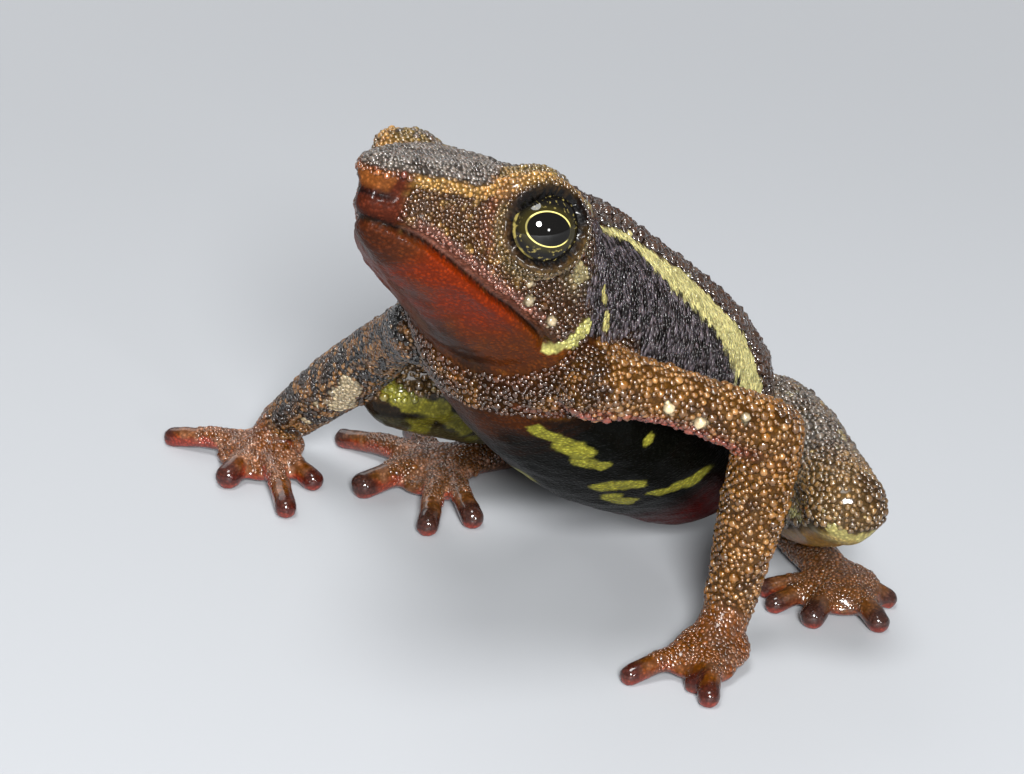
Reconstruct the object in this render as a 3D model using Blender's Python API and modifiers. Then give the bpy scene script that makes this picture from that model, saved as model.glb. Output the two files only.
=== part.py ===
"""Life-size still model of an Oxapampa stubfoot toad, sitting up on its hands.

The toad faces -Y, its left side is +X and the floor is z = 0.  All sizes below are in
millimetres and the finished meshes are scaled to metres.  Each part of the body is shaped
from pulled spheres, fused by a voxel remesh, smoothed, and then parted from its neighbours
by thin cuts, so that the nodes meet face to face and none overlap.
"""
import math

import bmesh
import bpy
import numpy as np
from mathutils import Matrix, Vector

MM = 0.001
GAP = 0.30
DOWN = Vector((0.0, 0.0, -1.0))

# Mesh fineness
FINE = 0.22
HAND_FINE = 0.17
HEAD_FINE = 0.15
TORSO_FINE = 0.30
CLEAR_VOXEL = 0.30
CLEAR_RATIO = 0.30
MERGE = 0.01
HEAD_TRIANGLES = 3100
TORSO_TRIANGLES = 1800
LIMB_TRIANGLES = 420
HAND_TRIANGLES = 1100
FOOT_TRIANGLES = 950
BODY_AROUND = 56
BODY_ALONG = 90
FINGER_AROUND = 14

# Head: the point midway between the eyes and the way the snout points
HEAD_MIDDLE = Vector((-0.30, -16.10, 16.40))
HEAD_YAW = math.radians(1.0)
HEAD_PITCH = math.radians(21.7)

# Head sections from the back of the jaw to the snout: forward, top, canthus out and up,
# lip out and up, jaw out and up, throat
HEAD_SECTIONS = (
    (-2.80, 1.42, 2.65, 0.95, 3.45, -2.51, 2.80, -4.20, -5.00),
    (-1.20, 1.34, 2.60, 1.15, 2.78, -2.85, 2.32, -3.62, -4.53),
    (0.60, 1.43, 2.42, 1.10, 2.47, -2.40, 1.95, -2.97, -3.63),
    (2.20, 1.26, 2.05, 0.94, 2.00, -1.75, 1.52, -2.48, -2.91),
    (3.50, 1.10, 1.58, 0.84, 1.38, -1.22, 0.99, -1.94, -2.35),
    (4.45, 0.96, 1.02, 0.78, 0.74, -1.05, 0.56, -1.51, -1.84),
    (4.98, 0.84, 0.66, 0.68, 0.44, -0.72, 0.28, -1.11, -1.30),
    (5.30, 0.52, 0.30, 0.42, 0.28, -0.15, 0.18, -0.50, -0.62),
)
NECK_TOP = Vector((0.0, -10.80, 15.80))
NECK_BOTTOM = Vector((0.0, -15.80, 10.80))
NECK_SPARE = 0.6

# Mouth line in the head's frame: forward, out, up
MOUTH_LINE = (
    (4.85, 0.00, -1.02),
    (4.50, 0.55, -1.05),
    (3.50, 1.35, -1.22),
    (2.20, 2.00, -1.75),
    (0.60, 2.46, -2.40),
    (-0.60, 2.64, -2.74),
    (-1.60, 2.75, -3.15),
    (-2.30, 2.84, -3.55),
)
MOUTH_GROOVE_DEPTH = 0.30
MOUTH_GROOVE_HALF_WIDTH = 0.27
LIP_SWELL = 0.12

# Eyes: middle of the lid ring, the way it looks, the ball and the lids
LID_RING_MIDDLE = Vector((0.10, 3.20, 0.0))
EYE_LOOK = Vector((0.62, 0.78, 0.06)).normalized()
EYE_SINK = 0.65
EYE_RADIUS = 1.27
LID_RING_RADIUS = 1.58
LID_THICKNESS = 0.26
LID_OPENING = 1.36
LID_COVER = 0.50
LID_DRUM_DEPTH = 2.4
LID_DRUM_FLARE = 0.5
LID_DRUM_SINK = 0.15
BROW_MIDDLE = (-0.05, 2.56, 0.82)
BROW_SIZES = (1.66, 1.12, 1.02)
NOSTRIL_MIDDLE = (4.10, 1.32, 0.18)
NOSTRIL_RADIUS = 0.20
NOSTRIL_DEPTH = 0.30
NOSTRIL_RIM = 0.06

# Trunk sections from the vent to the neck: back y and z, belly y and z, half width, x
TRUNK_SECTIONS = (
    (1.96, 4.40, 1.85, 3.50, 0.45, 0.05),
    (1.72, 5.30, 1.55, 2.70, 0.75, 0.05),
    (1.09, 6.49, 0.70, 1.85, 1.30, 0.05),
    (-0.05, 7.99, -1.10, 1.15, 2.10, 0.00),
    (-1.80, 9.55, -3.60, 1.05, 3.30, -0.05),
    (-3.90, 11.10, -6.60, 2.40, 4.06, -0.10),
    (-6.10, 12.61, -9.50, 3.90, 4.35, -0.15),
    (-8.20, 14.13, -12.10, 5.80, 4.20, -0.25),
    (-9.90, 15.12, -14.00, 7.60, 3.90, -0.30),
    (-11.30, 15.74, -15.20, 9.20, 3.62, -0.30),
)
TRUNK_UPPER = (0.80, 0.64)
TRUNK_LOWER = (0.78, 0.66)
SHOULDER_LEFT = Vector((3.30, -13.60, 10.60))
SHOULDER_RIGHT = Vector((-4.00, -12.90, 10.20))
SHOULDER_BALL = 1.35
SHOULDER_INSET = Vector((-0.25, 0.55, -0.15))
HIP_LEFT = Vector((1.75, 0.55, 4.50))
HIP_RIGHT = Vector((-1.75, 0.55, 4.50))
HIP_BALL = 1.25

# Arms: joints, then radii along each length
ELBOW_LEFT = Vector((7.05, -8.45, 8.15))
ELBOW_RIGHT = Vector((-9.20, -8.95, 6.50))
WRIST_LEFT = Vector((6.05, -8.75, 1.45))
WRIST_RIGHT = Vector((-15.10, -6.65, 1.50))
UPPER_ARM_RADII = (1.25, 1.00, 0.92, 0.96, 1.08)
FOREARM_RADII = (1.08, 1.10, 1.05, 0.92, 0.82)

# Legs: joints, then radii along each length
KNEE_LEFT = Vector((9.30, -7.00, 5.70))
KNEE_RIGHT = Vector((-9.45, -7.15, 4.50))
HEEL_LEFT = Vector((1.90, 0.30, 1.10))
HEEL_RIGHT = Vector((-6.60, 2.00, 1.10))
THIGH_RADII = (1.30, 1.36, 1.30, 1.22, 1.30)
SHANK_RADII = (1.28, 1.22, 1.08, 0.88, 0.82)

# Hands and feet: a pad in the middle, then each digit's tip, root radius and tip radius
DIGIT_SINK = 0.10
KNUCKLE_RISE = 0.16
WEB_HEIGHT = 0.36
WEB_REACH = 0.30
HAND_PAD = (1.55, 1.30, 0.62)
FOOT_PAD = (1.70, 1.35, 0.62)
WRIST_RADII = (0.80, 0.82, 0.70)
TARSUS_RADII = (0.80, 0.80, 0.66)
HAND_LEFT_PAD = Vector((6.40, -10.20, 0.62))
HAND_RIGHT_PAD = Vector((-15.35, -7.35, 0.62))
FOOT_LEFT_PAD = Vector((7.00, -2.90, 0.60))
FOOT_RIGHT_PAD = Vector((-9.60, -4.10, 0.60))
HAND_LEFT_DIGITS = (
    ((4.75, -9.75), 0.42, 0.40),
    ((4.89, -13.37), 0.44, 0.38),
    ((7.15, -12.45), 0.42, 0.38),
    ((8.16, -12.96), 0.44, 0.40),
)
HAND_RIGHT_DIGITS = (
    ((-19.40, -8.45), 0.46, 0.38),
    ((-14.95, -10.35), 0.52, 0.50),
    ((-11.45, -10.75), 0.44, 0.42),
    ((-12.15, -8.05), 0.46, 0.44),
)
FOOT_LEFT_DIGITS = (
    ((4.60, -4.60), 0.42, 0.38),
    ((5.60, -5.60), 0.44, 0.40),
    ((7.49, -5.80), 0.48, 0.46),
    ((9.68, -4.30), 0.48, 0.42),
    ((8.90, -2.10), 0.42, 0.38),
)
FOOT_RIGHT_DIGITS = (
    ((-5.85, -6.95), 0.44, 0.44),
    ((-6.80, -8.65), 0.46, 0.44),
    ((-10.95, -7.70), 0.56, 0.52),
    ((-14.60, -4.15), 0.48, 0.40),
    ((-13.00, -1.70), 0.42, 0.38),
)

# Finish of each node: colour, roughness
FINISHES = {
    "head": ((0.16, 0.085, 0.035, 1.0), 0.38),
    "torso": ((0.060, 0.045, 0.038, 1.0), 0.42),
    "eye": ((0.010, 0.009, 0.008, 1.0), 0.08),
    "arm": ((0.15, 0.070, 0.025, 1.0), 0.35),
    "leg": ((0.11, 0.065, 0.035, 1.0), 0.40),
    "digit": ((0.22, 0.065, 0.040, 1.0), 0.35),
}


def clear_scene():
    """Remove what the scene starts with."""
    for thing in list(bpy.data.objects):
        bpy.data.objects.remove(thing, do_unlink=True)


def make_collection(name):
    """A new collection linked to the scene."""
    group = bpy.data.collections.new(name)
    bpy.context.scene.collection.children.link(group)
    return group


def make_material(name, colour, roughness):
    """A plain skin or eye finish."""
    finish = bpy.data.materials.new(name)
    finish.use_nodes = True
    shader = finish.node_tree.nodes["Principled BSDF"]
    shader.inputs["Base Color"].default_value = colour
    shader.inputs["Roughness"].default_value = roughness
    shader.inputs["Metallic"].default_value = 0.0
    finish.diffuse_color = colour
    return finish


def spline(values, t):
    """A smooth curve through evenly spaced values, read at t from 0 to 1."""
    table = np.asarray(values, dtype=float)
    count = len(table) - 1
    place = min(max(t, 0.0), 1.0) * count
    step = min(int(place), count - 1)
    rest = place - step
    before = table[max(step - 1, 0)]
    start = table[step]
    end = table[step + 1]
    after = table[min(step + 2, count)]
    slope_start = 0.5 * (end - before)
    slope_end = 0.5 * (after - start)
    cube = rest ** 3
    square = rest ** 2
    return (
        start * (2 * cube - 3 * square + 1)
        + slope_start * (cube - 2 * square + rest)
        + end * (3 * square - 2 * cube)
        + slope_end * (cube - square)
    )


def head_axes():
    """The directions forward, out to the toad's left and up, of the head."""
    forward = Vector((
        -math.sin(HEAD_YAW) * math.cos(HEAD_PITCH),
        -math.cos(HEAD_YAW) * math.cos(HEAD_PITCH),
        math.sin(HEAD_PITCH),
    ))
    left = Vector((math.cos(HEAD_YAW), -math.sin(HEAD_YAW), 0.0))
    return forward, left, forward.cross(left)


FORWARD, LEFT, UP = head_axes()


def head_point(forward, left, up):
    """A place in the head's frame, as a place in the toad's frame."""
    return HEAD_MIDDLE + FORWARD * forward + LEFT * left + UP * up


def head_direction(forward, left, up):
    """A direction in the head's frame, as one in the toad's frame."""
    return FORWARD * forward + LEFT * left + UP * up


def pulled_sphere(around, along, place):
    """A closed mesh from a sphere: its rows become stations along a form."""
    shape = bmesh.new()
    bmesh.ops.create_uvsphere(shape, u_segments=around, v_segments=along, radius=1.0)
    for vert in shape.verts:
        station = math.acos(min(max(vert.co.z, -1.0), 1.0)) / math.pi
        turn = math.atan2(vert.co.y, vert.co.x)
        vert.co = place(station, turn)
    bmesh.ops.recalc_face_normals(shape, faces=shape.faces)
    return shape


def ball(middle, radius, around=20):
    """A ball."""
    shape = bmesh.new()
    bmesh.ops.create_uvsphere(shape, u_segments=around, v_segments=around // 2, radius=radius)
    bmesh.ops.translate(shape, verts=shape.verts, vec=middle)
    return shape


def egg(middle, axes, sizes, around=20):
    """An ellipsoid with the given axes and half sizes."""
    shape = bmesh.new()
    bmesh.ops.create_uvsphere(shape, u_segments=around, v_segments=around // 2, radius=1.0)
    for vert in shape.verts:
        vert.co = middle + sum(
            (axis * size * part for axis, size, part in zip(axes, sizes, vert.co)),
            Vector((0.0, 0.0, 0.0)),
        )
    bmesh.ops.recalc_face_normals(shape, faces=shape.faces)
    return shape


def ring(middle, normal, radius, thickness, around=28, across=8):
    """A torus: one section circle spun round the ring's normal."""
    shape = bmesh.new()
    side = normal.orthogonal().normalized()
    made = bmesh.ops.create_circle(shape, cap_ends=False, segments=across, radius=thickness)
    turn = Matrix((side, normal, side.cross(normal))).transposed().to_4x4()
    place = Matrix.Translation(middle + side * radius)
    bmesh.ops.transform(shape, matrix=place @ turn, verts=made["verts"])
    bmesh.ops.spin(
        shape, geom=shape.verts[:] + shape.edges[:], cent=middle, axis=normal,
        angle=math.tau, steps=around, use_merge=True,
    )
    bmesh.ops.recalc_face_normals(shape, faces=shape.faces)
    return shape


def limb(points, radii, around=16, along=30):
    """A round length through the points, with round ends."""
    route = np.array([tuple(point) for point in points])
    fine = np.array([spline(route, step / 60) for step in range(61)])
    runs = np.linalg.norm(np.diff(fine, axis=0), axis=1)
    length = float(runs.sum())
    marks = np.concatenate(([0.0], np.cumsum(runs))) / length
    first, last = radii[0], radii[-1]

    def route_point(share):
        return Vector([np.interp(share, marks, fine[:, axis]) for axis in range(3)])

    def place(station, turn):
        run = station * (first + length + last) - first
        share = min(max(run / length, 0.0), 1.0)
        middle = route_point(share)
        heading = (route_point(share + 0.02) - route_point(share - 0.02)).normalized()
        radius = float(spline(radii, share))
        if run < 0.0:
            middle = middle + heading * run
            radius = math.sqrt(max(first ** 2 - run ** 2, 0.0))
        elif run > length:
            middle = middle + heading * (run - length)
            radius = math.sqrt(max(last ** 2 - (run - length) ** 2, 0.0))
        side = heading.cross(Vector((0.13, 0.21, 1.0))).normalized()
        rise = side.cross(heading)
        return middle + (side * math.cos(turn) + rise * math.sin(turn)) * radius

    return pulled_sphere(around, along, place)


def body_outlines():
    """Eight outline points of every section from the vent to the snout."""
    rows = []
    for back_y, back_z, belly_y, belly_z, half_width, middle_x in TRUNK_SECTIONS:
        middle = Vector((middle_x, 0.5 * (back_y + belly_y), 0.5 * (back_z + belly_z)))
        rise = Vector((0.0, 0.5 * (back_y - belly_y), 0.5 * (back_z - belly_z)))
        out = Vector((half_width, 0.0, 0.0))
        upper = rise * TRUNK_UPPER[1]
        lower = rise * TRUNK_LOWER[1]
        rows.append((
            middle + rise, middle + upper + out * TRUNK_UPPER[0], middle + out,
            middle - lower + out * TRUNK_LOWER[0], middle - rise,
            middle - lower - out * TRUNK_LOWER[0], middle - out, middle + upper - out * TRUNK_UPPER[0],
        ))
    for section in HEAD_SECTIONS:
        forward, top, canthus_out, canthus_up, lip_out, lip_up, jaw_out, jaw_up, throat = section
        outline = (
            (0.0, top), (canthus_out, canthus_up), (lip_out, lip_up), (jaw_out, jaw_up), (0.0, throat),
            (-jaw_out, jaw_up), (-lip_out, lip_up), (-canthus_out, canthus_up),
        )
        rows.append([head_point(forward, out, up) for out, up in outline])
    return np.array([[tuple(point) for point in row] for row in rows])


def closed_spline(points, share):
    """A smooth closed curve through the points, read at share of the way round."""
    count = len(points)
    place = (share % 1.0) * count
    step = int(place) % count
    rest = place - int(place)
    before, start, end, after = (points[(step + shift) % count] for shift in (-1, 0, 1, 2))
    return (
        start * (2 * rest ** 3 - 3 * rest ** 2 + 1)
        + 0.5 * (end - before) * (rest ** 3 - 2 * rest ** 2 + rest)
        + end * (3 * rest ** 2 - 2 * rest ** 3)
        + 0.5 * (after - start) * (rest ** 3 - rest ** 2)
    )


def body_loft():
    """Trunk and head as one length pulled from a sphere, vent to snout."""
    outlines = body_outlines()

    def place(station, turn):
        row = spline(outlines, station)
        if station in (0.0, 1.0):
            return Vector(row.mean(axis=0))
        return Vector(closed_spline(row, 0.25 - turn / math.tau))

    return pulled_sphere(BODY_AROUND, BODY_ALONG, place)


def eye_middle(side):
    """The middle of an eyeball; side is 1 on the left and -1 on the right."""
    ring_middle, look = lid_ring(side)
    return ring_middle - look * EYE_SINK


def lid_ring(side):
    """The middle and the outward direction of the lids' ring."""
    middle = head_point(LID_RING_MIDDLE.x, LID_RING_MIDDLE.y * side, LID_RING_MIDDLE.z)
    look = head_direction(EYE_LOOK.x, EYE_LOOK.y * side, EYE_LOOK.z)
    return middle, look


def head_form():
    """Head, brows, eye covers and lid rims."""
    pieces = [body_loft()]
    for side in (1, -1):
        forward, out, up = BROW_MIDDLE
        pieces.append(egg(head_point(forward, out * side, up), (FORWARD, LEFT, UP), BROW_SIZES))
        middle, look = lid_ring(side)
        pieces.append(ball(eye_middle(side), EYE_RADIUS + LID_COVER, 24))
        pieces.append(ring(middle, look, LID_RING_RADIUS, LID_THICKNESS))
    return pieces


def torso_form():
    """Trunk with its shoulders and hips."""
    pieces = [body_loft()]
    for shoulder in (SHOULDER_LEFT, SHOULDER_RIGHT):
        inset = SHOULDER_INSET * Vector((math.copysign(1.0, shoulder.x), 1.0, 1.0))
        pieces.append(ball(shoulder + inset, SHOULDER_BALL))
    for hip in (HIP_LEFT, HIP_RIGHT):
        pieces.append(ball(hip, HIP_BALL))
    return pieces


def eye_opening(side):
    """A drum that opens the lids in front of the eyeball."""
    middle, look = lid_ring(side)
    shape = bmesh.new()
    bmesh.ops.create_cone(
        shape, cap_ends=True, segments=28, radius1=LID_OPENING,
        radius2=LID_OPENING + LID_DRUM_FLARE, depth=LID_DRUM_DEPTH,
    )
    turn = look.to_track_quat("Z", "Y").to_matrix().to_4x4()
    place = Matrix.Translation(middle + look * (LID_DRUM_DEPTH / 2 - LID_DRUM_SINK))
    bmesh.ops.transform(shape, verts=shape.verts, matrix=place @ turn)
    return shape


def bent(start, end, sag):
    """Five points from start to end, bowed by sag in the middle."""
    bow = Vector(sag)
    return [start.lerp(end, step / 4) + bow * math.sin(math.pi * step / 4) for step in range(5)]


def hand_or_foot_form(wrist, pad, digits, pad_sizes, stem_radii):
    """A wrist or tarsus, a flat pad, the digits and the web between their roots."""
    pieces = [limb([wrist, wrist.lerp(pad, 0.5), pad], stem_radii, FINGER_AROUND, 18)]
    heading = Vector((pad.x - wrist.x, pad.y - wrist.y, 0.0)).normalized()
    axes = (heading, Vector((-heading.y, heading.x, 0.0)), Vector((0.0, 0.0, 1.0)))
    pieces.append(egg(pad, axes, pad_sizes))
    for tip, root_radius, tip_radius in digits:
        end = Vector((*tip, tip_radius - DIGIT_SINK))
        inward = (Vector((pad.x, pad.y, end.z)) - end).normalized()
        end = end + inward * tip_radius
        start = pad.lerp(end, 0.15)
        knuckle = start.lerp(end, 0.5) + Vector((0.0, 0.0, KNUCKLE_RISE))
        radii = (root_radius + 0.08, root_radius - 0.05, tip_radius)
        pieces.append(limb([start, knuckle, end], radii, FINGER_AROUND, 20))
    middle = Vector((pad.x, pad.y, WEB_HEIGHT))
    for first, second in zip(digits[:-1], digits[1:]):
        rim = Vector((*first[0], WEB_HEIGHT)).lerp(Vector((*second[0], WEB_HEIGHT)), 0.5)
        pieces.append(egg(middle.lerp(rim, WEB_REACH), axes, (1.0, 1.0, WEB_HEIGHT)))
    return pieces


def fuse(name, pieces, voxel, smooth):
    """Join closed pieces into one skin by a voxel remesh, then smooth it."""
    whole = bmesh.new()
    for piece in pieces:
        mesh = bpy.data.meshes.new("piece")
        piece.to_mesh(mesh)
        piece.free()
        whole.from_mesh(mesh)
        bpy.data.meshes.remove(mesh)
    mesh = bpy.data.meshes.new(name)
    whole.to_mesh(mesh)
    whole.free()
    thing = bpy.data.objects.new(name, mesh)
    bpy.context.scene.collection.objects.link(thing)
    remesh = thing.modifiers.new("Fuse", "REMESH")
    remesh.mode = "VOXEL"
    remesh.voxel_size = voxel
    if smooth:
        soft = thing.modifiers.new("Soften", "SMOOTH")
        soft.factor = 0.5
        soft.iterations = smooth
    return bake(thing)


def bake(thing):
    """The evaluated mesh of an object as a bmesh; the object is removed."""
    bpy.context.view_layer.update()
    graph = bpy.context.evaluated_depsgraph_get()
    mesh = bpy.data.meshes.new_from_object(thing.evaluated_get(graph))
    old = thing.data
    bpy.data.objects.remove(thing, do_unlink=True)
    bpy.data.meshes.remove(old)
    shape = bmesh.new()
    shape.from_mesh(mesh)
    bpy.data.meshes.remove(mesh)
    return shape


def with_modifier(shape, kind, settings):
    """The shape after one modifier."""
    mesh = bpy.data.meshes.new("work")
    shape.to_mesh(mesh)
    shape.free()
    thing = bpy.data.objects.new("work", mesh)
    bpy.context.scene.collection.objects.link(thing)
    change = thing.modifiers.new(kind, kind)
    for key, value in settings.items():
        setattr(change, key, value)
    return bake(thing)


def carve_mouth(shape):
    """Press the mouth line into the head and swell the lip above it."""
    half = [spline(MOUTH_LINE, step / 80) for step in range(81)]
    line = []
    for side in (1, -1):
        line += [tuple(head_point(point[0], point[1] * side, point[2])) for point in half]
    line = np.array(line)
    upward = np.array(tuple(UP))
    shape.normal_update()
    moves = []
    for vert in shape.verts:
        away = line - np.array(tuple(vert.co))
        through = away @ np.array(tuple(vert.normal))
        beside = np.sqrt(np.maximum((away ** 2).sum(axis=1) - through ** 2, 0.0))
        beside[np.abs(through) > 0.9] = 9.0
        nearest = int(beside.argmin())
        distance = float(beside[nearest])
        if distance > 1.2:
            continue
        above = float(-away[nearest] @ upward)
        press = MOUTH_GROOVE_DEPTH * math.exp(-((distance / MOUTH_GROOVE_HALF_WIDTH) ** 2))
        swell = LIP_SWELL * math.exp(-(((above - 0.48) / 0.26) ** 2)) * math.exp(-((distance / 0.9) ** 4))
        moves.append((vert, vert.normal * (swell - press)))
    for vert, move in moves:
        vert.co += move
    bmesh.ops.smooth_vert(
        shape, verts=[vert for vert, _ in moves], factor=0.4,
        use_axis_x=True, use_axis_y=True, use_axis_z=True,
    )
    return shape


def carve_nostrils(shape):
    """Press a small pit for each nostril."""
    shape.normal_update()
    for side in (1, -1):
        middle = head_point(NOSTRIL_MIDDLE[0], NOSTRIL_MIDDLE[1] * side, NOSTRIL_MIDDLE[2])
        for vert in shape.verts:
            share = (vert.co - middle).length / NOSTRIL_RADIUS
            pit = NOSTRIL_DEPTH * math.exp(-share ** 2)
            rim = NOSTRIL_RIM * math.exp(-(((share - 1.5) / 0.5) ** 2))
            if share < 2.5:
                vert.co -= vert.normal * (pit - rim)
    return shape


def thin_out(shape, triangles):
    """Collapse the skin to about the given number of triangles."""
    bmesh.ops.triangulate(shape, faces=shape.faces)
    ratio = min(1.0, triangles / max(len(shape.faces), 1))
    return with_modifier(shape, "DECIMATE", {"ratio": ratio, "use_collapse_triangulate": True})


def clip(shape, point, normal):
    """Cut the shape by a plane, drop the side the normal points to and close the cut."""
    bmesh.ops.bisect_plane(
        shape, geom=shape.verts[:] + shape.edges[:] + shape.faces[:], dist=0.0001,
        plane_co=point, plane_no=normal, clear_outer=True,
    )
    rim = [edge for edge in shape.edges if edge.is_boundary]
    if rim:
        bmesh.ops.edgeloop_fill(shape, edges=rim)
    bmesh.ops.recalc_face_normals(shape, faces=shape.faces)
    return shape


def keep_largest(shape):
    """Keep only the connected piece with the most faces."""
    left_over = set(shape.faces)
    best = []
    while left_over:
        seed = left_over.pop()
        group = [seed]
        queue = [seed]
        while queue:
            face = queue.pop()
            for edge in face.edges:
                for other in edge.link_faces:
                    if other in left_over:
                        left_over.remove(other)
                        group.append(other)
                        queue.append(other)
        if len(group) > len(best):
            best = group
    keep = set(best)
    drop = [face for face in shape.faces if face not in keep]
    bmesh.ops.delete(shape, geom=drop, context="FACES")
    loose = [vert for vert in shape.verts if not vert.link_faces]
    bmesh.ops.delete(shape, geom=loose, context="VERTS")
    return shape


def clearance(shapes, amount):
    """The shapes swollen by the amount and fused into one clean closed skin."""
    whole = bmesh.new()
    for shape in shapes:
        copy = shape.copy()
        copy.normal_update()
        for vert in copy.verts:
            vert.co += vert.normal * amount
        mesh = bpy.data.meshes.new("copy")
        copy.to_mesh(mesh)
        copy.free()
        whole.from_mesh(mesh)
        bpy.data.meshes.remove(mesh)
    skin = with_modifier(whole, "REMESH", {"mode": "VOXEL", "voxel_size": CLEAR_VOXEL})
    return with_modifier(skin, "DECIMATE", {"ratio": CLEAR_RATIO})


def carve_away(shape, tool, cutters):
    """Subtract a tool from the shape by an exact Boolean."""
    work_mesh = bpy.data.meshes.new("work")
    shape.to_mesh(work_mesh)
    shape.free()
    tool_mesh = bpy.data.meshes.new("tool")
    tool.to_mesh(tool_mesh)
    work = bpy.data.objects.new("work", work_mesh)
    bpy.context.scene.collection.objects.link(work)
    knife = bpy.data.objects.new("tool", tool_mesh)
    cutters.objects.link(knife)
    knife.hide_render = True
    knife.display_type = "WIRE"
    cut = work.modifiers.new("Cut", "BOOLEAN")
    cut.operation = "DIFFERENCE"
    cut.solver = "EXACT"
    cut.object = knife
    result = bake(work)
    bpy.data.objects.remove(knife, do_unlink=True)
    bpy.data.meshes.remove(tool_mesh)
    return keep_largest(result)


def part_limb(pieces, name, triangles, planes, neighbours, cutters, voxel=FINE):
    """Fuse a length of limb, cut it at its joints and clear it of its neighbours."""
    shape = fuse(name, pieces, voxel, 4)
    shape = thin_out(shape, triangles)
    for point, normal in planes:
        shape = clip(shape, point, normal)
    if neighbours:
        shape = carve_away(shape, clearance(neighbours, GAP), cutters)
    shape = clip(shape, Vector((0.0, 0.0, 0.0)), DOWN)
    return keep_largest(shape)


def joint_plane(before, joint, after):
    """The point and normal of the cut through a bent joint, normal along the limb."""
    normal = ((joint - before).normalized() + (after - joint).normalized()).normalized()
    return joint, normal


def floor_shift(nodes):
    """The move that puts the middle of the toad's floor box at the origin."""
    places = np.array([tuple(vert.co) for shape in nodes.values() for vert in shape.verts])
    low, high = places.min(axis=0), places.max(axis=0)
    return Vector((-0.5 * (low[0] + high[0]), -0.5 * (low[1] + high[1]), -low[2]))


def tidy(shape):
    """Merge slivers, drop folded pairs of triangles and leave clean closed triangles."""
    for _ in range(3):
        bmesh.ops.remove_doubles(shape, verts=shape.verts, dist=MERGE)
        bmesh.ops.dissolve_degenerate(shape, edges=shape.edges, dist=MERGE)
        bmesh.ops.triangulate(shape, faces=shape.faces)
        seen = {}
        for face in shape.faces:
            seen.setdefault(frozenset(vert.index for vert in face.verts), []).append(face)
        folded = [face for faces in seen.values() if len(faces) > 1 for face in faces]
        bmesh.ops.delete(shape, geom=folded, context="FACES")
        shape.verts.index_update()
    loose = [vert for vert in shape.verts if not vert.link_faces]
    bmesh.ops.delete(shape, geom=loose, context="VERTS")
    bmesh.ops.recalc_face_normals(shape, faces=shape.faces)
    return shape


def add_node(name, shape, finish, group, shift):
    """Place a finished shape as one node, in metres."""
    tidy(shape)
    bmesh.ops.translate(shape, verts=shape.verts, vec=shift)
    bmesh.ops.scale(shape, verts=shape.verts, vec=Vector((MM, MM, MM)))
    mesh = bpy.data.meshes.new(name)
    shape.to_mesh(mesh)
    shape.free()
    mesh.shade_smooth()
    mesh.materials.append(finish)
    node = bpy.data.objects.new(name, mesh)
    group.objects.link(node)
    return node


def build_head_and_torso(nodes, cutters):
    """Eyes, head and torso, parted at the neck."""
    forward = Vector((1.0, 0.0, 0.0)).cross(NECK_TOP - NECK_BOTTOM).normalized()

    head = fuse("head", head_form(), HEAD_FINE, 5)
    head = clip(head, NECK_TOP - forward * NECK_SPARE, -forward)
    head = carve_mouth(head)
    head = carve_nostrils(head)
    head = thin_out(head, HEAD_TRIANGLES)
    head = clip(head, NECK_TOP + forward * (GAP / 2), -forward)
    for side in (1, -1):
        head = carve_away(head, eye_opening(side), cutters)
        head = carve_away(head, ball(eye_middle(side), EYE_RADIUS + GAP, 28), cutters)
    nodes["head"] = head

    torso = fuse("torso", torso_form(), TORSO_FINE, 5)
    torso = clip(torso, NECK_TOP + forward * NECK_SPARE, forward)
    torso = thin_out(torso, TORSO_TRIANGLES)
    torso = clip(torso, NECK_TOP - forward * (GAP / 2), forward)
    nodes["torso"] = torso

    for side, name in ((1, "eye_left"), (-1, "eye_right")):
        nodes[name] = ball(eye_middle(side), EYE_RADIUS, 20)


def build_arm(nodes, label, shoulder, elbow, wrist, pad, digits, cutters):
    """Upper arm, forearm and hand of one side."""
    bend, along = joint_plane(shoulder, elbow, wrist)
    turn, down = wrist, DOWN
    nodes["upper_arm_" + label] = part_limb(
        [limb(bent(shoulder, elbow, (0.0, 0.0, 0.25)), UPPER_ARM_RADII)], "upper_arm_" + label,
        LIMB_TRIANGLES, [(bend - along * GAP / 2, along)], [nodes["torso"], nodes["head"]], cutters,
    )
    nodes["forearm_" + label] = part_limb(
        [limb(bent(elbow, wrist, (0.0, 0.0, 0.0)), FOREARM_RADII)], "forearm_" + label,
        LIMB_TRIANGLES,
        [(bend + along * GAP / 2, -along), (turn - down * GAP / 2, down)], [], cutters,
    )
    nodes["hand_" + label] = part_limb(
        hand_or_foot_form(wrist, pad, digits, HAND_PAD, WRIST_RADII),
        "hand_" + label, HAND_TRIANGLES, [(turn + down * GAP / 2, -down)], [], cutters, HAND_FINE,
    )


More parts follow.
